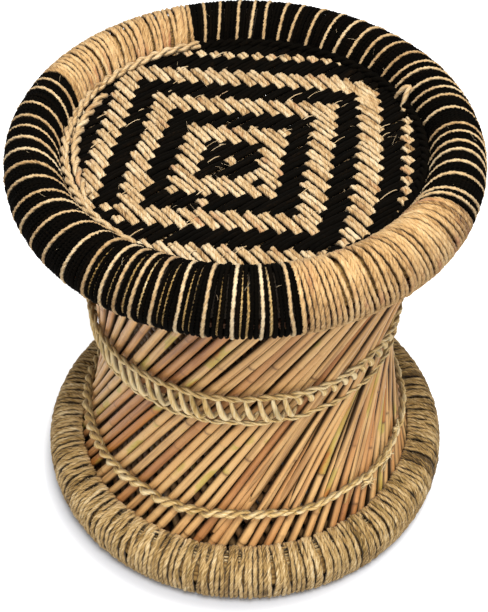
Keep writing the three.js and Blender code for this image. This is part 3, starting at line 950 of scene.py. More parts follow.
def build_jute_wraps():
    rolls = bpy.context.scene.stool_rolls
    rng = np.random.default_rng(SEED + 1)
    loop = rim_loop(rolls.jute_radius, step=0.0023)
    for name, (first, last), main_tone in (
        ("front", JUTE_FRONT_DEG, 0.52),
        ("back", JUTE_BACK_DEG, 0.56),
    ):
        count = round(math.radians(last - first) * rolls.rim_radius / rolls.jute_pitch)
        edges = np.radians(np.linspace(first, last, count + 1))
        tones = main_tone + wander(rng, count + 1, count / 3, 0.05)
        draw = gathered if name == "back" else lambda start, loop: 0.0
        starts = (edges[:-1] + edges[1:]) / 2 + rng.normal(0, math.radians(0.1), count)
        strands = turns_of(
            rng, loop, starts, edges[1] - edges[0], rolls.jute_radius, JUTE_LAY,
            lambda start: float(np.interp(start, edges, tones)) + rng.normal(0, 0.06),
            math.radians(0.4),
            lambda start, angle, share: angle + lean_of(start, loop) + draw(start, loop),
        )
        piece = swept(f"jute_turns_{name}", strands, pinch=0.24)
        dress(piece, finish("jute"), "jute", f"rim_jute_wrap_{name}")


# How far black cords lie in, stripe cords stand out and sunk ones lie in, in metres
BLACK_IN, STRIPE_OUT, SUNK_IN = 0.0003, 0.0001, 0.0021
# Width of an opening between two black cords, in metres
OPENING = (0.0008, 0.0014)


def black_places(rng, low, high):
    """Degrees at which black cords fill the room from low to high, and those of its openings."""
    rolls = bpy.context.scene.stool_rolls
    pitch = math.degrees(rolls.black_pitch / rolls.rim_radius)
    room = high - low
    opened = []
    if low > OPEN_FROM_DEG and room > 2 * pitch:
        count = round(room / pitch - 0.35)
        openings = min(count - 1, int(rng.integers(1, 3)))
        slack = math.degrees(rng.uniform(*OPENING) / rolls.rim_radius)
        step = (room - openings * slack) / count
        places = low + step * (np.arange(count) + 0.5)
        for after in rng.choice(np.arange(1, count), openings, replace=False):
            places[after:] += slack
            opened.append(places[after] - step / 2 - slack / 2)
        return list(places), opened
    if room > pitch / 2:
        count = max(1, math.ceil(room / pitch - 0.2))
        return list(low + room * (np.arange(count) + 0.5) / count), opened
    return [], opened


def build_black_wraps():
    rolls = bpy.context.scene.stool_rolls
    rng = np.random.default_rng(SEED + 2)
    black_loop = rim_loop(rolls.black_radius + BLACK_IN, step=0.0031)
    stripe_loop = rim_loop(rolls.stripe_radius - STRIPE_OUT, step=0.0026)
    sunk_loop = rim_loop(rolls.stripe_radius + SUNK_IN, step=0.0014)
    lengths = (
        ("front", JUTE_BACK_DEG[1], STRIPES_FRONT_DEG, JUTE_FRONT_DEG[0] + 360),
        ("back", JUTE_FRONT_DEG[1], STRIPES_BACK_DEG, JUTE_BACK_DEG[0]),
    )
    half = math.degrees(rolls.stripe_radius / rolls.rim_radius) * 0.85
    for name, first, stripes, last in lengths:
        lows = [first, *(stripe + half for stripe in stripes)]
        highs = [*(stripe - half for stripe in stripes), last]
        blacks, sunk = [], []
        for low, high in zip(lows, highs):
            places, opened = black_places(rng, low, high)
            blacks += places
            sunk += opened
        strands = leaning_turns(rng, black_loop, blacks, rolls.black_radius, BLACK_LAY, 0.5, 0.12, 0.15)
        piece = swept(f"black_cords_{name}", strands, sides=6, pinch=0.1)
        dress(piece, finish("black"), "black_cord", f"rim_black_wrap_{name}")
        strands = leaning_turns(
            rng, stripe_loop, stripes, rolls.stripe_radius, STRIPE_LAY, 0.62, 0.1, 0.3
        )
        piece = swept(f"stripe_cords_{name}", strands, pinch=0.26)
        dress(piece, finish("stripe"), "jute", f"rim_stripe_cord_{name}")
        if sunk:
            strands = leaning_turns(
                rng, sunk_loop, sunk, rolls.stripe_radius * 0.9, SUNK_LAY, 0.34, 0.12, 0.25
            )
            piece = swept(f"sunk_cords_{name}", strands, pinch=0.4)
            dress(piece, finish("twine"), "jute")


# Where the base rope leaves its bundle bare, how wide, and how far its turns part there
BARE_PATCH_DEG, BARE_WIDTH_DEG, PARTED_DEG = 7.0, 2.2, 1.0
# At the base's lip, how far a turn dips in and rises between two reeds, and how far all turns are
# pulled down, in metres, and then over which shares of a turn they are drawn, parted and pulled
LIP_DIP, LIP_RISE, LIP_PULL = 0.0034, 0.0042, 0.0012
DRAWN_SHARE, PARTED_SHARE, PARTED_BEFORE_SHARE, PULLED_SHARE = 0.045, 0.06, 0.08, 0.03


def gaps_between_reeds(layer, height):
    """Angles midway between the layer's reeds at a height, over three rounds of the stool."""
    hands = [layer.angle_at(np.array(layer.angles(hand)), height) for hand in range(layer.hands)]
    reeds = np.sort(np.mod(np.concatenate(hands), TURN))
    gaps = (reeds + np.roll(reeds, -1)) / 2
    gaps[-1] = (reeds[-1] + reeds[0] + TURN) / 2
    return np.concatenate([gaps - TURN, gaps, gaps + TURN])


def build_base_wraps():
    rolls = bpy.context.scene.stool_rolls
    rng = np.random.default_rng(SEED + 3)
    layer = outer_layer()
    loop = base_loop(rolls.rope_radius, step=0.0026)
    run = run_of(loop) / run_of(loop)[-1]
    lip_share = run[np.argmax(loop[:, 1] - 0.2 * np.abs(loop[:, 0] - loop[-1, 0]))]
    gaps = gaps_between_reeds(layer, rolls.base_height)
    reeds = layer.hands * layer.per_hand

    def near_lip(share, before, reach):
        return np.exp(-(((share - lip_share + before) / reach) ** 2))

    def to_gap(start, angle, share):
        nearest = gaps[np.abs(gaps[None] - angle[:, None]).argmin(1)]
        bare = (math.degrees(start) - BARE_PATCH_DEG) / BARE_WIDTH_DEG
        aside = math.radians(PARTED_DEG) * bare * math.exp(-(bare**2))
        aside += rng.normal(0, math.radians(0.35))
        drawn = rng.uniform(0, 0.55) * (0.35 + 0.65 * max(0.0, math.cos(start + 0.6)))
        closer = (nearest - angle) * drawn * near_lip(share, 0.0, DRAWN_SHARE)
        return angle + closer + aside * near_lip(share, PARTED_BEFORE_SHARE, PARTED_SHARE)

    def to_lip(angle, share):
        pulled = near_lip(share, 0.0, PULLED_SHARE)
        off = np.abs(gaps[None] - angle[:, None]).min(1) * reeds / TURN
        between = np.cos(np.pi * np.minimum(off, 0.5)) ** 2 * pulled
        return -LIP_DIP * between, LIP_RISE * between - LIP_PULL * pulled

    for name, first in (("front", math.radians(-90)), ("back", math.radians(90))):
        count = round(math.pi * rolls.base_radius / rolls.rope_pitch)
        edges = np.linspace(first, first + math.pi, count + 1)
        tones = 0.5 - 0.17 * np.maximum(0, np.sin(edges)) ** 2 + wander(rng, count + 1, count / 4, 0.04)
        strands = turns_of(
            rng, loop, edges[:-1] + rng.normal(0, math.radians(0.08), count),
            edges[1] - edges[0], rolls.rope_radius, ROPE_LAY,
            lambda start: float(np.interp(start, edges, tones)) + rng.normal(0, 0.08),
            math.radians(0.16), to_gap, to_lip,
        )
        piece = swept(f"base_rope_turns_{name}", strands, pinch=0.24)
        dress(piece, finish("straw"), "straw_rope", f"base_rope_wrap_{name}")
    build_lip_stalks(rng)


# The loose stalks' thickness, first place off the reeds, steps outwards and down, and sways
STALK_RADIUS, STALK_START, STALK_STEP, STALK_FALL = 0.0014, 0.0032, 0.0026, 0.0004
STALK_SWAY, STALK_HEIGHT_SWAY = 0.0003, 0.0004


def build_lip_stalks(rng):
    """The bundle's loose top stalks, seen between the rope turns beside the reeds."""
    rolls = bpy.context.scene.stool_rolls
    lip = outer_layer().radius_at(rolls.base_height) + reed_room(0.0)
    angle = np.linspace(0, TURN, 400, endpoint=False)
    strands = []
    for step in range(6):
        ring = lip + STALK_START + STALK_STEP * step + wander(rng, 400, 40, STALK_SWAY)
        height = rolls.base_height - 2.6 * rolls.rope_radius - STALK_FALL * step
        height = height + wander(rng, 400, 50, STALK_HEIGHT_SWAY)
        tone = rng.normal(0.55, 0.12)
        points = on_ring(angle, ring, height)
        strands.append(strand(points, STALK_RADIUS, tone=tone, tint=own_tint(rng), closed=True))
    dress(swept("base_lip_stalks", strands, plies=1, sides=6, pinch=0.0), finish("straw"), "straw_rope")


# Waist and foot bindings


def outside_of_reeds(height, room):
    cage = bpy.context.scene.stool_cage
    return outer_layer().radius_at(height) + cage.reed_diameter / 2 + room


def inside_of_reeds(height, room):
    cage = bpy.context.scene.stool_cage
    return inner_layer().radius_at(height) - cage.reed_diameter / 2 - room


# How far each cord of a twine lies from their middle, as a share of its radius
TWIST_SHARE = 0.84


def twined(rng, angle, radius, height, cord, lay, tone, closed=False):
    """Two cords that twist round each other along a ring or a part of one."""
    strands = []
    run = run_of(on_ring(angle, radius, height))
    turn = run / lay * TURN
    if closed:
        length = run[-1] + run[1]
        turn = run / length * round(length / lay) * TURN
    for half in (0, math.pi):
        out, rise = np.cos(turn + half) * cord * TWIST_SHARE, np.sin(turn + half) * cord * TWIST_SHARE
        points = on_ring(angle, radius + out, height + rise)
        tones = tone + wander(rng, len(points), len(points) / 12, 0.07)
        strands.append(
            strand(points, cord, TWINE_LAY, rng.uniform(0, TURN), tones, own_tint(rng), closed=closed)
        )
        if closed:
            strands[-1].tilt = whole_laps(points, TWINE_LAY)
    return strands


# How far the foot twine rises at the front, in metres, and how fat its lumps are round the stool
FOOT_RISE = 0.0035
FOOT_FAT_DEG = {0: 0.75, 15: 0.55, 60: 0.5, 90: 0.6, 250: 0.9, 290: 1.0, 335: 1.0, 360: 0.75}
# How far a foot cord bulges over a reed and lies in beside it, its sway and its lay, in metres
FOOT_BULGE, FOOT_IN, FOOT_SWAY, FOOT_LAY = 0.0026, 0.0008, 0.0003, 0.02


def wrapped_reeds(rng, angle, ring, height):
    """Two cords that take turns to bulge over one reed each and dive beside it."""
    waist = bpy.context.scene.stool_waist
    layer = outer_layer()
    reeds = layer.hands * layer.per_hand
    first = layer.angle_at(0.0, waist.foot_height)
    turn = (angle - first) * reeds / 2
    fat = np.interp(np.degrees(angle), list(FOOT_FAT_DEG), list(FOOT_FAT_DEG.values()))
    cord = waist.twine_cord * (0.85 + 0.55 * fat)
    strands = []
    for half in (0, math.pi):
        phase = turn + half + wander(rng, len(angle), 60, 0.4)
        out = FOOT_BULGE * fat * np.cos(phase) - FOOT_IN * fat + wander(rng, len(angle), 90, FOOT_SWAY)
        points = on_ring(angle, ring + out, height + 0.9 * cord * np.sin(phase))
        # Painted light and shade: a cord is lighter where it bulges out over a reed and darker where it
        # dives beside it
        tones = 0.62 + 0.1 * np.cos(phase) + wander(rng, len(angle), 140, 0.13)
        thick = cord * (0.96 + 0.16 * fat * np.cos(phase) + wander(rng, len(angle), 110, 0.07))
        strands.append(strand(points, thick, tone=tones, tint=own_tint(rng), closed=True))
        strands[-1].tilt = whole_laps(points, FOOT_LAY)
    return strands


# Thickness of the waist's twines against the foot's
WAIST_CORD_SHARES = {"upper_waist": 0.9, "lower_waist": 0.74}
# How far a twine stands off the reeds, in radii of its cords
TWINE_ROOM_SHARE = 1.7
# From point to point of a twine, in metres
TWINE_STEP = 0.0019
# Height of a twine's waves in metres, and how many of each go round the stool
TWINE_WAVE, TWINE_WAVES = 0.0006, (5, 9, 14, 23)


def build_twines():
    waist = bpy.context.scene.stool_waist
    rng = np.random.default_rng(SEED + 4)
    cord = waist.twine_cord
    heights = {
        "upper_waist": waist.upper_height,
        "lower_waist": waist.lower_height,
        "foot": waist.foot_height,
    }
    for name, height in heights.items():
        for where, ring in (
            ("outside", outside_of_reeds(height, TWINE_ROOM_SHARE * cord)),
            ("inside", inside_of_reeds(height, TWINE_ROOM_SHARE * cord)),
        ):
            angle = np.linspace(0, TURN, int(TURN * ring / TWINE_STEP), endpoint=False)
            rise = sum(
                rng.normal(0, TWINE_WAVE) * np.sin(k * angle + rng.uniform(0, TURN))
                for k in TWINE_WAVES
            )
            if name == "foot":
                rise = rise + FOOT_RISE * np.exp(-((np.sin(angle / 2) / 0.2) ** 2))
                strands = wrapped_reeds(rng, angle, ring, height + rise)
            else:
                thick = cord * WAIST_CORD_SHARES[name]
                strands = twined(
                    rng, angle, ring, height + rise, thick, -waist.twine_lay, tone=0.74, closed=True
                )
            piece = swept(f"{name}_rope_{where}", strands, pinch=0.14)
            dress(piece, finish("twine"), "straw_rope", f"{name}_twine_{where}")


# Between these angles the stitches are short, steep beads, and elsewhere long ones that hook in
BEADS_DEG = (14.0, 80.0)
# In metres: how far the stitches start under the upper twine, then a bead's width, fall and drop
STITCH_GAP, BEAD_WIDTH, BEAD_FALL, BEAD_DROP = 0.002, 0.0068, 0.0092, 0.0034
# In metres: how far a bead bows sideways and outwards, and goes in at its foot and its head
BEAD_SWAY, BEAD_BOW, BEAD_FOOT_IN, BEAD_HEAD_IN = 0.001, 0.0012, 0.0036, 0.003
# In metres: a long stitch's width and bow, and how far its hook goes on, up and in
LONG_WIDTH, LONG_BOW, HOOK_ON, HOOK_UP, HOOK_IN = 0.0085, 0.0018, 0.003, 0.0035, 0.0048
STITCH_LAY = 0.05


def build_lacing():
    waist = bpy.context.scene.stool_waist
    rng = np.random.default_rng(SEED + 5)
    radius = waist.stitch_radius
    top = waist.upper_height - STITCH_GAP
    fall = (waist.upper_height - waist.lower_height) * 0.84
    strands = []
    for i in range(waist.stitches):
        start = TURN * i / waist.stitches + rng.normal(0, math.radians(0.3))
        size = rng.uniform(0.9, 1.08)
        if BEADS_DEG[0] < math.degrees(start) < BEADS_DEG[1]:
            t = np.linspace(0, 1, 20)
            bow = np.sin(np.pi * t)
            across = BEAD_WIDTH * size * (t - 0.3) + BEAD_SWAY * np.sin(TURN * t)
            height = top - BEAD_DROP - BEAD_FALL * size * t
            away = radius + BEAD_BOW * bow - BEAD_FOOT_IN * t**6 - BEAD_HEAD_IN * (1 - t) ** 6
            thick = radius * (0.86 + 0.26 * bow) * rng.uniform(0.85, 1.08)
        else:
            t = np.linspace(0, 1, 26)
            bow = np.sin(np.pi * t)
            hook = np.clip(t - 0.78, 0, 1) / 0.22
            across = LONG_WIDTH * size * t**1.2 + HOOK_ON * hook**2
            height = top - fall * size * np.sin(t * math.pi / 2) ** 0.9 + HOOK_UP * hook**3
            away = radius + LONG_BOW * bow - HOOK_IN * hook**2
            thick = radius * (0.72 + 0.36 * bow) * rng.uniform(0.88, 1.08)
        points = on_ring(start + across / waist_radius(waist), outside_of_reeds(height, away), height)
        phase = rng.uniform(0, TURN)
        tone = 0.8 + rng.normal(0, 0.1)
        strands.append(strand(points, thick, STITCH_LAY, phase, tone, own_tint(rng)))
    piece = swept("waist_stitches", strands, sides=10, pinch=0.1)
    dress(piece, finish("twine"), "straw_rope", "waist_lacing")


def waist_radius(waist):
    """The cage's outer radius midway between the waist twines."""
    return outside_of_reeds((waist.upper_height + waist.lower_height) / 2, 0.0)


# Tufts where twines are tied off: degrees round, height, and reach of their ends, in metres
TUFTS = ((70.4, 0.0765, 0.013), (60.1, 0.067, 0.016), (47.3, 0.065, 0.012))
# In metres: how far a tuft's ends stand off the reeds and fall back, their sway and their spread
TUFT_OFF, TUFT_BACK, TUFT_SWAY, TUFT_SPREAD = 0.0032, 0.0012, 0.0006, 0.0015
TUFT_THICKNESS = (0.0005, 0.0009)
# In metres: half a knot's width, its cord's radius and lay, its room off the reeds and its ends' fall
KNOT_HALF, KNOT_RADIUS, KNOT_LAY, KNOT_OFF, KNOT_BACK = 0.0055, 0.0016, 0.015, 0.0042, 0.0022
KNOT_TILTS = (0.5, -0.35)


def build_tufts():
    rng = np.random.default_rng(SEED + 11)
    strands = []
    for turn, height, reach in TUFTS:
        for _ in range(9):
            t = np.linspace(0, 1, 12)
            aim = rng.uniform(-0.9, 0.9)
            across = reach * t * math.sin(aim) * rng.choice([-1, 1])
            rise = height + rng.normal(0, TUFT_SPREAD)
            rise = rise - reach * t * math.cos(aim) * rng.uniform(0.2, 1)
            away = TUFT_OFF - TUFT_BACK * t + wander(rng, 12, 4, TUFT_SWAY)
            angle = math.radians(turn) + across / outside_of_reeds(height, 0.0)
            points = on_ring(angle, outside_of_reeds(rise, away), rise)
            thick = rng.uniform(*TUFT_THICKNESS) * (1 - 0.5 * t)
            strands.append(strand(points, thick, tone=0.86, tint=own_tint(rng)))
        t = np.linspace(-1, 1, 14)
        for tilt in KNOT_TILTS:
            across = KNOT_HALF * t * math.cos(tilt)
            points = on_ring(
                math.radians(turn) + across / outside_of_reeds(height, 0.0),
                outside_of_reeds(height, KNOT_OFF - KNOT_BACK * t * t),
                height + KNOT_HALF * t * math.sin(tilt),
            )
            strands.append(strand(points, KNOT_RADIUS, KNOT_LAY, tone=0.78, tint=own_tint(rng)))
    piece = swept("tied_ends", strands, pinch=0.14)
    dress(piece, finish("twine"), "straw_rope")


SPLINTS = 16
SPLINTS_DEG = (18.0, 112.0)
# In metres: a splint's least and most room at its foot and at its top, its sway and its taper
SPLINT_FOOT, SPLINT_TOP, SPLINT_SWAY, SPLINT_TAPER = (0.024, 0.07), (0.016, 0.06), 0.0006, 0.02


def build_splints():
    """Thin split reeds that lie over the others on the right, held by the twines."""
    cage = bpy.context.scene.stool_cage
    rng = np.random.default_rng(SEED + 9)
    layer = outer_layer()
    strands = []
    for start in np.radians(rng.uniform(*SPLINTS_DEG, SPLINTS)):
        low = cage.foot_height + rng.uniform(*SPLINT_FOOT)
        high = cage.top_height - rng.uniform(*SPLINT_TOP)
        heights = np.linspace(low, high, 24)
        side, face = sideways(start), outward(start)
        offset = layer.slope * (heights - layer.waist_height) * rng.uniform(0.88, 1.06)
        bend = wander(rng, 24, 4, SPLINT_SWAY)
        radius = cage.reed_diameter / 2 * rng.uniform(0.55, 0.95)
        out = layer.waist_radius + cage.reed_diameter / 2 - 0.2 * radius
        points = (out + bend)[:, None] * face + (offset + bend)[:, None] * side
        points[:, 2] = heights
        taper = np.interp(heights, [low, low + SPLINT_TAPER, high - SPLINT_TAPER, high], [0.5, 1, 1, 0.5])
        phase = rng.uniform(0, TURN)
        tone = rng.normal(0.78, 0.12)
        tint = rng.uniform(0.3, 0.92)
        strands.append(strand(points, radius * taper, phase=phase, tone=tone, tint=tint))
    piece = swept("outer_splints", strands, plies=1, sides=7, pinch=0.0)
    dress(piece, finish("reed"), "reed")


# Seat

FLOAT_PERIOD = 6
FLOAT_LIGHT = (4, 5, 0)
LAST_RING = 18
EDGE_RING = 22
# Crossings where the real weave slipped, and whether natural lies on top there
SLIPPED_CELLS = {
    (18, 0): False, (0, 4): False, (-7, -2): True, (-5, 3): True, (-12, -2): True, (0, 3): True,
}


def light_on_top(i, j):
    """True where the natural strand lies over the black one: rings of a diamond twill, and a
    line of short floats near the rim."""
    if (i, j) in SLIPPED_CELLS:
        return SLIPPED_CELLS[i, j]
    ring = abs(i) + abs(j)
    return ring == EDGE_RING or (ring <= LAST_RING and ring % FLOAT_PERIOD in FLOAT_LIGHT)


def seat_axes():
    """The steps from natural strand to natural strand, and from black strand to black strand."""
    seat = bpy.context.scene.stool_seat
    row = seat.row_step * np.array([math.cos(seat.row_angle), math.sin(seat.row_angle)])
    column = seat.column_step * np.array([math.cos(seat.column_angle), math.sin(seat.column_angle)])
    return (row + column) / 2, (row - column) / 2


# Where the weave was drawn aside: a place, a shift and a reach, in millimetres
DRAWN_ASIDE_MM = (
    ((105, -45), (8, 0), 75),
    ((-62, -25), (-5, 0), 35),
    ((100, 82), (-6, -6), 25),
)
# Shares of a cell where a cord has points, if it dives there and if it stays level
DIVE_SHARES = (0.0, 0.24, 0.36, 0.44, 0.5, 0.56, 0.64, 0.76)
LEVEL_SHARES = (0.0, 0.25, 0.5, 0.75)
# A pair's two strands lie this far either side of its middle, as a share of their radius
PAIR_SHARE = 0.83
# How far a seat strand sways sideways and up, in metres, and the lay of its plies
SEAT_SWAY, SEAT_HEIGHT_SWAY, SEAT_LAY = 0.0004, 0.0003, 0.016
# Thickness of the strands, as shares of the named sizes of their cords
NATURAL_SWELL_SHARE, BLACK_SWELL_SHARE = 1.09, 1.07


def drawn_aside(line):
    """The points of the even weave, moved to where the real weave lies."""
    moved = line.copy()
    for place, shift, reach in DRAWN_ASIDE_MM:
        away = np.linalg.norm(line - np.array(place) / 1000, axis=1) / (reach / 1000)
        moved += np.exp(-(away**2))[:, None] * np.array(shift) / 1000
    return moved


def seat_strands(rng, across, onward, over, radius, lay, tone, tint):
    """All strands of one direction, in pairs. over(i, j) says where a pair lies on top."""
    seat = bpy.context.scene.stool_seat
    centre = np.array([seat.centre_x, seat.centre_y])
    reach = int(seat.edge_radius * 2.4 / min(np.linalg.norm(across), np.linalg.norm(onward)))
    side = np.array([-onward[1], onward[0]]) / np.linalg.norm(onward)
    middle = seat.top - seat.rise - seat.natural_radius
    strands = []
    for i in range(-reach, reach + 1):
        whole = np.arange(-reach, reach + 1)
        up = np.array([1.0 if over(i, int(j)) else -1.0 for j in whole])
        crown = 0.2 * ((up[:-2] + up[1:-1] + up[2:]) == 3)
        up[1:-1] += crown
        cells = [
            j + np.array(DIVE_SHARES if a * b < 0 else LEVEL_SHARES)
            for j, a, b in zip(whole, up, up[1:])
        ]
        s = np.concatenate(cells)
        low = np.floor(s).astype(int) - whole[0]
        for offset in (-PAIR_SHARE * radius, PAIR_SHARE * radius):
            dive = 0.5 + rng.normal(0, 0.08, len(whole))[low]
            ease = np.clip((s - np.floor(s) - dive) * 2.1 + 0.5, 0, 1)
            ease = ease * ease * (3 - 2 * ease)
            wave = up[low] * (1 - ease) + up[low + 1] * ease
            line = drawn_aside(centre + i * across + s[:, None] * onward + offset * side)
            kept = np.hypot(line[:, 0], line[:, 1]) < seat.edge_radius
            if kept.sum() < 6:
                continue
            line, swing = line[kept], wave[kept]
            count = len(swing)
            line = line + wander(rng, count, count / 14, SEAT_SWAY)[:, None] * side
            height = middle + swing * seat.rise + wander(rng, count, count / 10, SEAT_HEIGHT_SWAY)
            swell = np.interp(swing, [-1, 0, 1.2], [0.82, 0.92, 1.06]) * rng.uniform(0.93, 1.04)
            tones = tone + rng.normal(0, 0.06) + wander(rng, count, count / 5, 0.12)
            points = np.column_stack([line, height])
            strands.append(strand(points, radius * swell, lay, rng.uniform(0, TURN), tones, tint(rng)))
    return strands


def build_seat():
    seat = bpy.context.scene.stool_seat
    rng = np.random.default_rng(SEED + 7)
    across, onward = seat_axes()
    naturals = seat_strands(
        rng, across, onward, light_on_top, seat.natural_radius * NATURAL_SWELL_SHARE, SEAT_LAY, 0.64,
        own_tint,
    )
    piece = swept("seat_natural_strands", naturals, pinch=0.12, flat=0.95)
    dress(piece, finish("seat"), "seat_cord", "seat_weave")
    blacks = seat_strands(
        rng, onward, across, lambda i, j: not light_on_top(j, i),
        seat.black_radius * BLACK_SWELL_SHARE, 0.0, 0.5, lambda source: 0.5,
    )
    piece = swept("seat_black_strands", blacks, plies=1, sides=7, pinch=0.0, flat=0.85)
    dress(piece, finish("black"), "black_cord")


# The knot on the rim's inner side: degrees round, tilt in radians and reach in metres
KNOT_CORDS = ((114.0, 0.03, 0.006), (116.5, -0.02, 0.005))
# In metres: the knot's height over the seat, its rise and bow, its cords' radius and their lay
RIM_KNOT_UP, RIM_KNOT_RISE, RIM_KNOT_BOW, RIM_KNOT_RADIUS, RIM_KNOT_LAY = 0.008, 0.006, 0.004, 0.0023, 0.02
BRAID_DEG = (196.0, 325.0)
SECOND_BRAID_DEG = (240.0, 296.0)
BRAID_LAY, BLACK_BRAID_LAY, BRAID_SWAY = 0.024, 0.016, 0.0003
# A thin twine at the front: where it lies, how far out and up, its cords' radius and their lay
THIN_DEG = (340.0, 368.0)
THIN_OUT, THIN_UP, THIN_RADIUS, THIN_LAY = 0.0035, 0.005, 0.0011, 0.012


# From point to point of a braid, in metres
ARC_STEP = 0.0016


def arc_of(first, last, radius, height):
    """Angles round part of a ring, and the ring's radius and height at each."""
    count = int(math.radians(last - first) * radius / ARC_STEP)
    return np.radians(np.linspace(first, last, count)), np.full(count, radius), np.full(count, height)


def build_border():
    seat = bpy.context.scene.stool_seat
    rng = np.random.default_rng(SEED + 8)
    cord = seat.braid_cord
    ring = seat.edge_radius - 1.2 * cord
    naturals = []
    for first, last, radius, rise, lay in (
        (*BRAID_DEG, ring, 1.2 * cord, BRAID_LAY),
        (*SECOND_BRAID_DEG, ring - 3.8 * cord, 0.4 * cord, -BRAID_LAY),
    ):
        angle, radii, heights = arc_of(first, last, radius, seat.top + rise)
        heights = heights + wander(rng, len(angle), len(angle) / 12, BRAID_SWAY)
        naturals += twined(rng, angle, radii, heights, cord, lay, tone=0.6)
    angle, radii, heights = arc_of(*THIN_DEG, seat.edge_radius + THIN_OUT, seat.top + THIN_UP)
    naturals += twined(rng, angle, radii, heights, THIN_RADIUS, THIN_LAY, tone=0.6)
    for turn, tilt, reach in KNOT_CORDS:
        t = np.linspace(-1, 1, 16)
        height = seat.top + RIM_KNOT_UP + RIM_KNOT_RISE * t - RIM_KNOT_BOW * t * t
        points = on_ring(np.radians(turn) + tilt * t, seat.edge_radius + reach * t, height)
        thick = RIM_KNOT_RADIUS * (1 - 0.25 * t * t)
        naturals.append(strand(points, thick, RIM_KNOT_LAY, tone=0.62, tint=own_tint(rng)))
    piece = swept("seat_border_natural", naturals, pinch=0.18)
    dress(piece, finish("seat"), "jute", "seat_border_braid")
    angle, radii, heights = arc_of(BRAID_DEG[1], BRAID_DEG[0] + 360, ring, seat.top + 0.3 * cord)
    blacks = twined(rng, angle, radii, heights, cord, BLACK_BRAID_LAY, tone=0.5)
    piece = swept("seat_border_black", blacks, plies=1, sides=7, pinch=0.0)
    dress(piece, finish("black"), "black_cord")


# How many fibres stand on the seat, lie along its cords and stand on the rim
SEAT_HAIRS, LAID_HAIRS, RIM_HAIRS = 50, 46, 60
# In metres: radius of a standing fibre, and then the ranges of radius and length
HAIR_RADIUS, LAID_RADIUS, LAID_LENGTH = 0.0001, (0.0002, 0.0005), (0.006, 0.018)
SEAT_HAIR_LENGTH, RIM_HAIR_LENGTH = (0.003, 0.009), (0.002, 0.006)
# In metres: how far laid fibre keeps off the edge and stands over the seat, its dip and its sway
LAID_OFF_EDGE, LAID_UP, LAID_DIP, LAID_SWAY, HAIR_ROOT = 0.01, 0.0003, 0.0016, 0.0004, 0.001


def hair(rng, start, reach):
    """A loose fibre that stands off a cord and curls over."""
    t = np.linspace(0, 1, 9)[:, None]
    aim = rng.normal(0, 1, 3)
    aim[2] = abs(aim[2]) * 0.3 + 0.1
    aim = aim / np.linalg.norm(aim)
    bend = rng.normal(0, 0.3, 3)
    points = start + reach * (aim * t + bend * t**2)
    return strand(points, HAIR_RADIUS, tone=0.85, tint=own_tint(rng))


def laid_fibre(rng, along):
    """Fibre of a natural cord that shows between two black cords and lies along them."""
    seat = bpy.context.scene.stool_seat
    reach = seat.edge_radius - LAID_OFF_EDGE
    spot = on_ring(rng.uniform(0, TURN), reach * math.sqrt(rng.uniform()), 0.0)
    t = np.linspace(-0.5, 0.5, 9)
    sway = wander(rng, 9, 4, LAID_SWAY)
    line = spot[:2] + rng.uniform(*LAID_LENGTH) * t[:, None] * along + sway[:, None] * along[::-1]
    height = seat.top + LAID_UP - LAID_DIP * (2 * t) ** 2
    thick = rng.uniform(*LAID_RADIUS)
    return strand(np.column_stack([line, height]), thick, tone=0.75, tint=own_tint(rng))


def build_hairs():
    """Loose fibres on the seat and the natural cords of the rim."""
    seat = bpy.context.scene.stool_seat
    rolls = bpy.context.scene.stool_rolls
    rng = np.random.default_rng(SEED + 10)
    hairs = []
    for _ in range(SEAT_HAIRS):
        spot = on_ring(rng.uniform(0, TURN), seat.edge_radius * math.sqrt(rng.uniform()), seat.top)
        hairs.append(hair(rng, spot - [0, 0, HAIR_ROOT], rng.uniform(*SEAT_HAIR_LENGTH)))
    across = seat_axes()[0]
    hairs += [laid_fibre(rng, across / np.linalg.norm(across)) for _ in range(LAID_HAIRS)]
    centre, middle = rim_middle()
    for _ in range(RIM_HAIRS):
        angle, turn = rng.uniform(0, TURN), rng.uniform(-0.6, 3.2)
        out, rise = rolls.rim_width / 2 * math.cos(turn), rolls.rim_height / 2 * math.sin(turn)
        spot = on_ring(angle, centre + out * 0.98, middle + rise * 0.98)
        hairs.append(hair(rng, spot, rng.uniform(*RIM_HAIR_LENGTH)))
    piece = swept("loose_fibres", hairs, plies=1, sides=4, pinch=0.0)
    dress(piece, finish("seat"), "jute")


def dress_cores():
    """The hidden hoops and bundles keep their frame shapes, with their own finishes."""
    for node, look in (
        ("rim_padding_bundle", "padding"),
        ("base_outer_bundle", "bundle"),
        ("rim_outer_hoop", "cane"),
        ("rim_inner_hoop", "cane"),
        ("base_inner_hoop", "cane"),
    ):
        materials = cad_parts[node].data.materials
        materials.clear()
        materials.append(finish(look))


# Stage


def build_world():
    stage = bpy.context.scene.stool_stage
    world = bpy.data.worlds.new("studio")
    bpy.context.scene.world = world
    world.use_nodes = True
    tree = Tree(world.node_tree)
    background = tree.nodes["Background"].inputs
    background["Color"].default_value = (1, 1, 1, 1)
    inputs = {"Value": tree.seen(), "To Min": stage.sky_strength, "To Max": 1.0}
    level = tree.add("ShaderNodeMapRange", inputs)
    tree.links.new(level.outputs[0], background["Strength"])


# The floor turns pure white between these distances from the shadow's middle, in metres
NEAR_FLOOR = 0.164
FAR_FLOOR = 0.193
FAR_GLOW = 0.8
FLOOR_HALF = 6.0
SHADOW_MIDDLE = (-0.006, -0.009, 0)
# Painted shadow: the floor's colour by distance from the shadow's middle, nearly black under the stool and
# grey round its foot
PAINTED_SHADOW_STOPS = ((0.12, "120e0a"), (0.15, "bfc1c6"), (0.175, "cacbcf"), (FAR_FLOOR, "e2e2e2"))


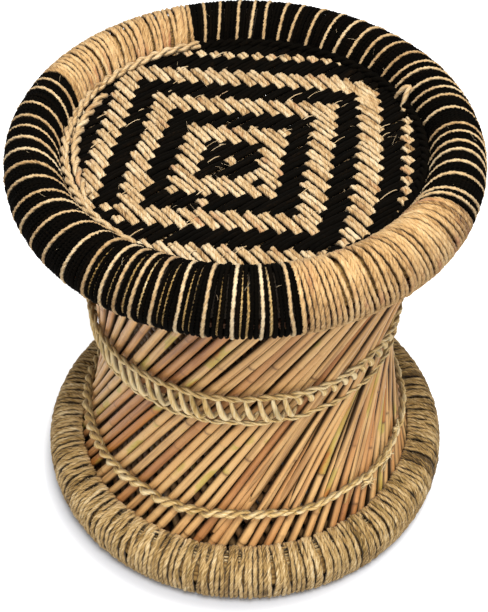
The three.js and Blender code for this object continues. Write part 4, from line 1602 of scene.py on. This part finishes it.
def build_floor():
    """A floor that keeps the shadow round the stool's foot and is white further out."""
    bm = bmesh.new()
    bmesh.ops.create_grid(bm, x_segments=1, y_segments=1, size=FLOOR_HALF)
    mesh = bpy.data.meshes.new("floor")
    bm.to_mesh(mesh)
    bm.free()
    floor = bpy.data.objects.new("floor", mesh)
    bpy.context.scene.collection.objects.link(floor)
    recipe = Recipe("floor_white", roughness=0.9, gloss=0.0)
    recipe.set("Emission Color", (1, 1, 1, 1))
    from_middle = recipe.vectors("SUBTRACT", recipe.place(), SHADOW_MIDDLE)
    away = recipe.vectors("LENGTH", from_middle, output="Value")
    # Painted shadow round the stool's foot
    recipe.paint(recipe.ramp(away, [(place, hexed(code)) for place, code in PAINTED_SHADOW_STOPS]))
    inputs = {"Value": away, "From Min": NEAR_FLOOR, "From Max": FAR_FLOOR}
    clear = recipe.add("ShaderNodeMapRange", inputs, interpolation_type="SMOOTHSTEP").outputs[0]
    level = recipe.sum(clear, FAR_GLOW, bpy.context.scene.stool_stage.floor_glow)
    glow = recipe.times(recipe.seen(), level)
    recipe.links.new(glow, recipe.surface.inputs["Emission Strength"])
    mesh.materials.append(recipe.material)


# Places and sizes of the lamps, and the height that they aim at, in metres
KEY_PLACE, KEY_SIZE = (0.15, -0.8, 2.3), 1.0
FILL_PLACE, FILL_SIZE = (0.15, -1.9, 1.0), 1.4
LAMP_AIM = (0, 0, 0.2)


def area_lamp(name, place, size, power):
    lamp = bpy.data.lights.new(name, "AREA")
    lamp.shape = "DISK"
    lamp.size = size
    lamp.energy = power
    holder = bpy.data.objects.new(name, lamp)
    holder.location = place
    aim = Vector(LAMP_AIM) - Vector(place)
    holder.rotation_euler = aim.to_track_quat("-Z", "Y").to_euler()
    bpy.context.scene.collection.objects.link(holder)


def build_camera():
    stage = bpy.context.scene.stool_stage
    data = bpy.data.cameras.new("photo_view")
    camera = bpy.data.objects.new("photo_view", data)
    bpy.context.scene.collection.objects.link(camera)
    back = Vector((0, -math.cos(stage.elevation), math.sin(stage.elevation)))
    camera.location = Vector((0, 0, stage.aim_height)) + back * stage.distance
    camera.rotation_euler = (-back).to_track_quat("-Z", "Y").to_euler()
    long_side = max(stage.photo_width, stage.photo_height)
    data.sensor_width = 36.0
    data.lens = stage.focal_pixels * data.sensor_width / long_side
    data.shift_x = (stage.photo_width / 2 - stage.centre_x) / long_side
    data.shift_y = (stage.centre_y - stage.photo_height / 2) / long_side
    data.clip_start, data.clip_end = 0.05, 20.0
    data.dof.use_dof = False
    bpy.context.scene.camera = camera


def build_stage():
    stage = bpy.context.scene.stool_stage
    bpy.context.scene.view_settings.view_transform = "Standard"
    build_world()
    build_floor()
    area_lamp("key", KEY_PLACE, KEY_SIZE, stage.key_power)
    area_lamp("fill", FILL_PLACE, FILL_SIZE, stage.fill_power)
    build_camera()


# Operators and panel


def operator(name, label, text, build):
    """An operator class that runs one builder."""

    def execute(self, context):
        build()
        return {"FINISHED"}

    return type(
        "STOOL_OT_" + name,
        (bpy.types.Operator,),
        {
            "__doc__": text,
            "bl_idname": "stool." + name,
            "bl_label": label,
            "bl_options": {"REGISTER", "UNDO"},
            "execute": execute,
        },
    )


OPERATORS = (
    operator("stage", "Stage", "Add the camera, the lamps and the white floor", build_stage),
    operator("cores", "Hoops and bundles", "Finish the hidden hoops and bundles", dress_cores),
    operator("reeds", "Reeds", "Add both layers of reeds", build_reeds),
    operator("jute", "Jute wraps", "Wind the two jute lengths of the rim", build_jute_wraps),
    operator("black", "Black wraps", "Wind the two striped black lengths", build_black_wraps),
    operator("base", "Base rope", "Wind the rope round the base roll", build_base_wraps),
    operator("twines", "Twines", "Lay the twines round the cage", build_twines),
    operator("lacing", "Waist stitches", "Stitch between the waist twines", build_lacing),
    operator("splints", "Splints", "Add the thin split reeds on the right", build_splints),
    operator("tufts", "Tied ends", "Add the tufts where twines are tied off", build_tufts),
    operator("seat", "Seat", "Weave the twill seat", build_seat),
    operator("border", "Border", "Lay the braid round the seat", build_border),
    operator("hairs", "Loose fibres", "Add the fibres that stand off the cords", build_hairs),
)


class STOOL_PT_panel(bpy.types.Panel):
    """Lists the stool's operators, sizes and colours in the sidebar"""

    bl_idname = "STOOL_PT_panel"
    bl_label = "Mudda Stool"
    bl_space_type = "VIEW_3D"
    bl_region_type = "UI"
    bl_category = "Stool"

    def draw(self, context):
        for made in OPERATORS:
            self.layout.operator(made.bl_idname)
        for name, group in GROUPS.items():
            box = self.layout.box()
            box.label(text=group.__doc__)
            for setting in group.__annotations__:
                box.prop(getattr(context.scene, name), setting)


CLASSES = (*GROUPS.values(), *OPERATORS, STOOL_PT_panel)


def register():
    for made in CLASSES:
        bpy.utils.register_class(made)
    for name, group in GROUPS.items():
        setattr(bpy.types.Scene, name, PointerProperty(type=group))


def unregister():
    for name in GROUPS:
        delattr(bpy.types.Scene, name)
    for made in reversed(CLASSES):
        bpy.utils.unregister_class(made)


def main():
    register()
    for made in OPERATORS:
        group, name = made.bl_idname.split(".")
        getattr(getattr(bpy.ops, group), name)()


if __name__ == "__main__":
    main()
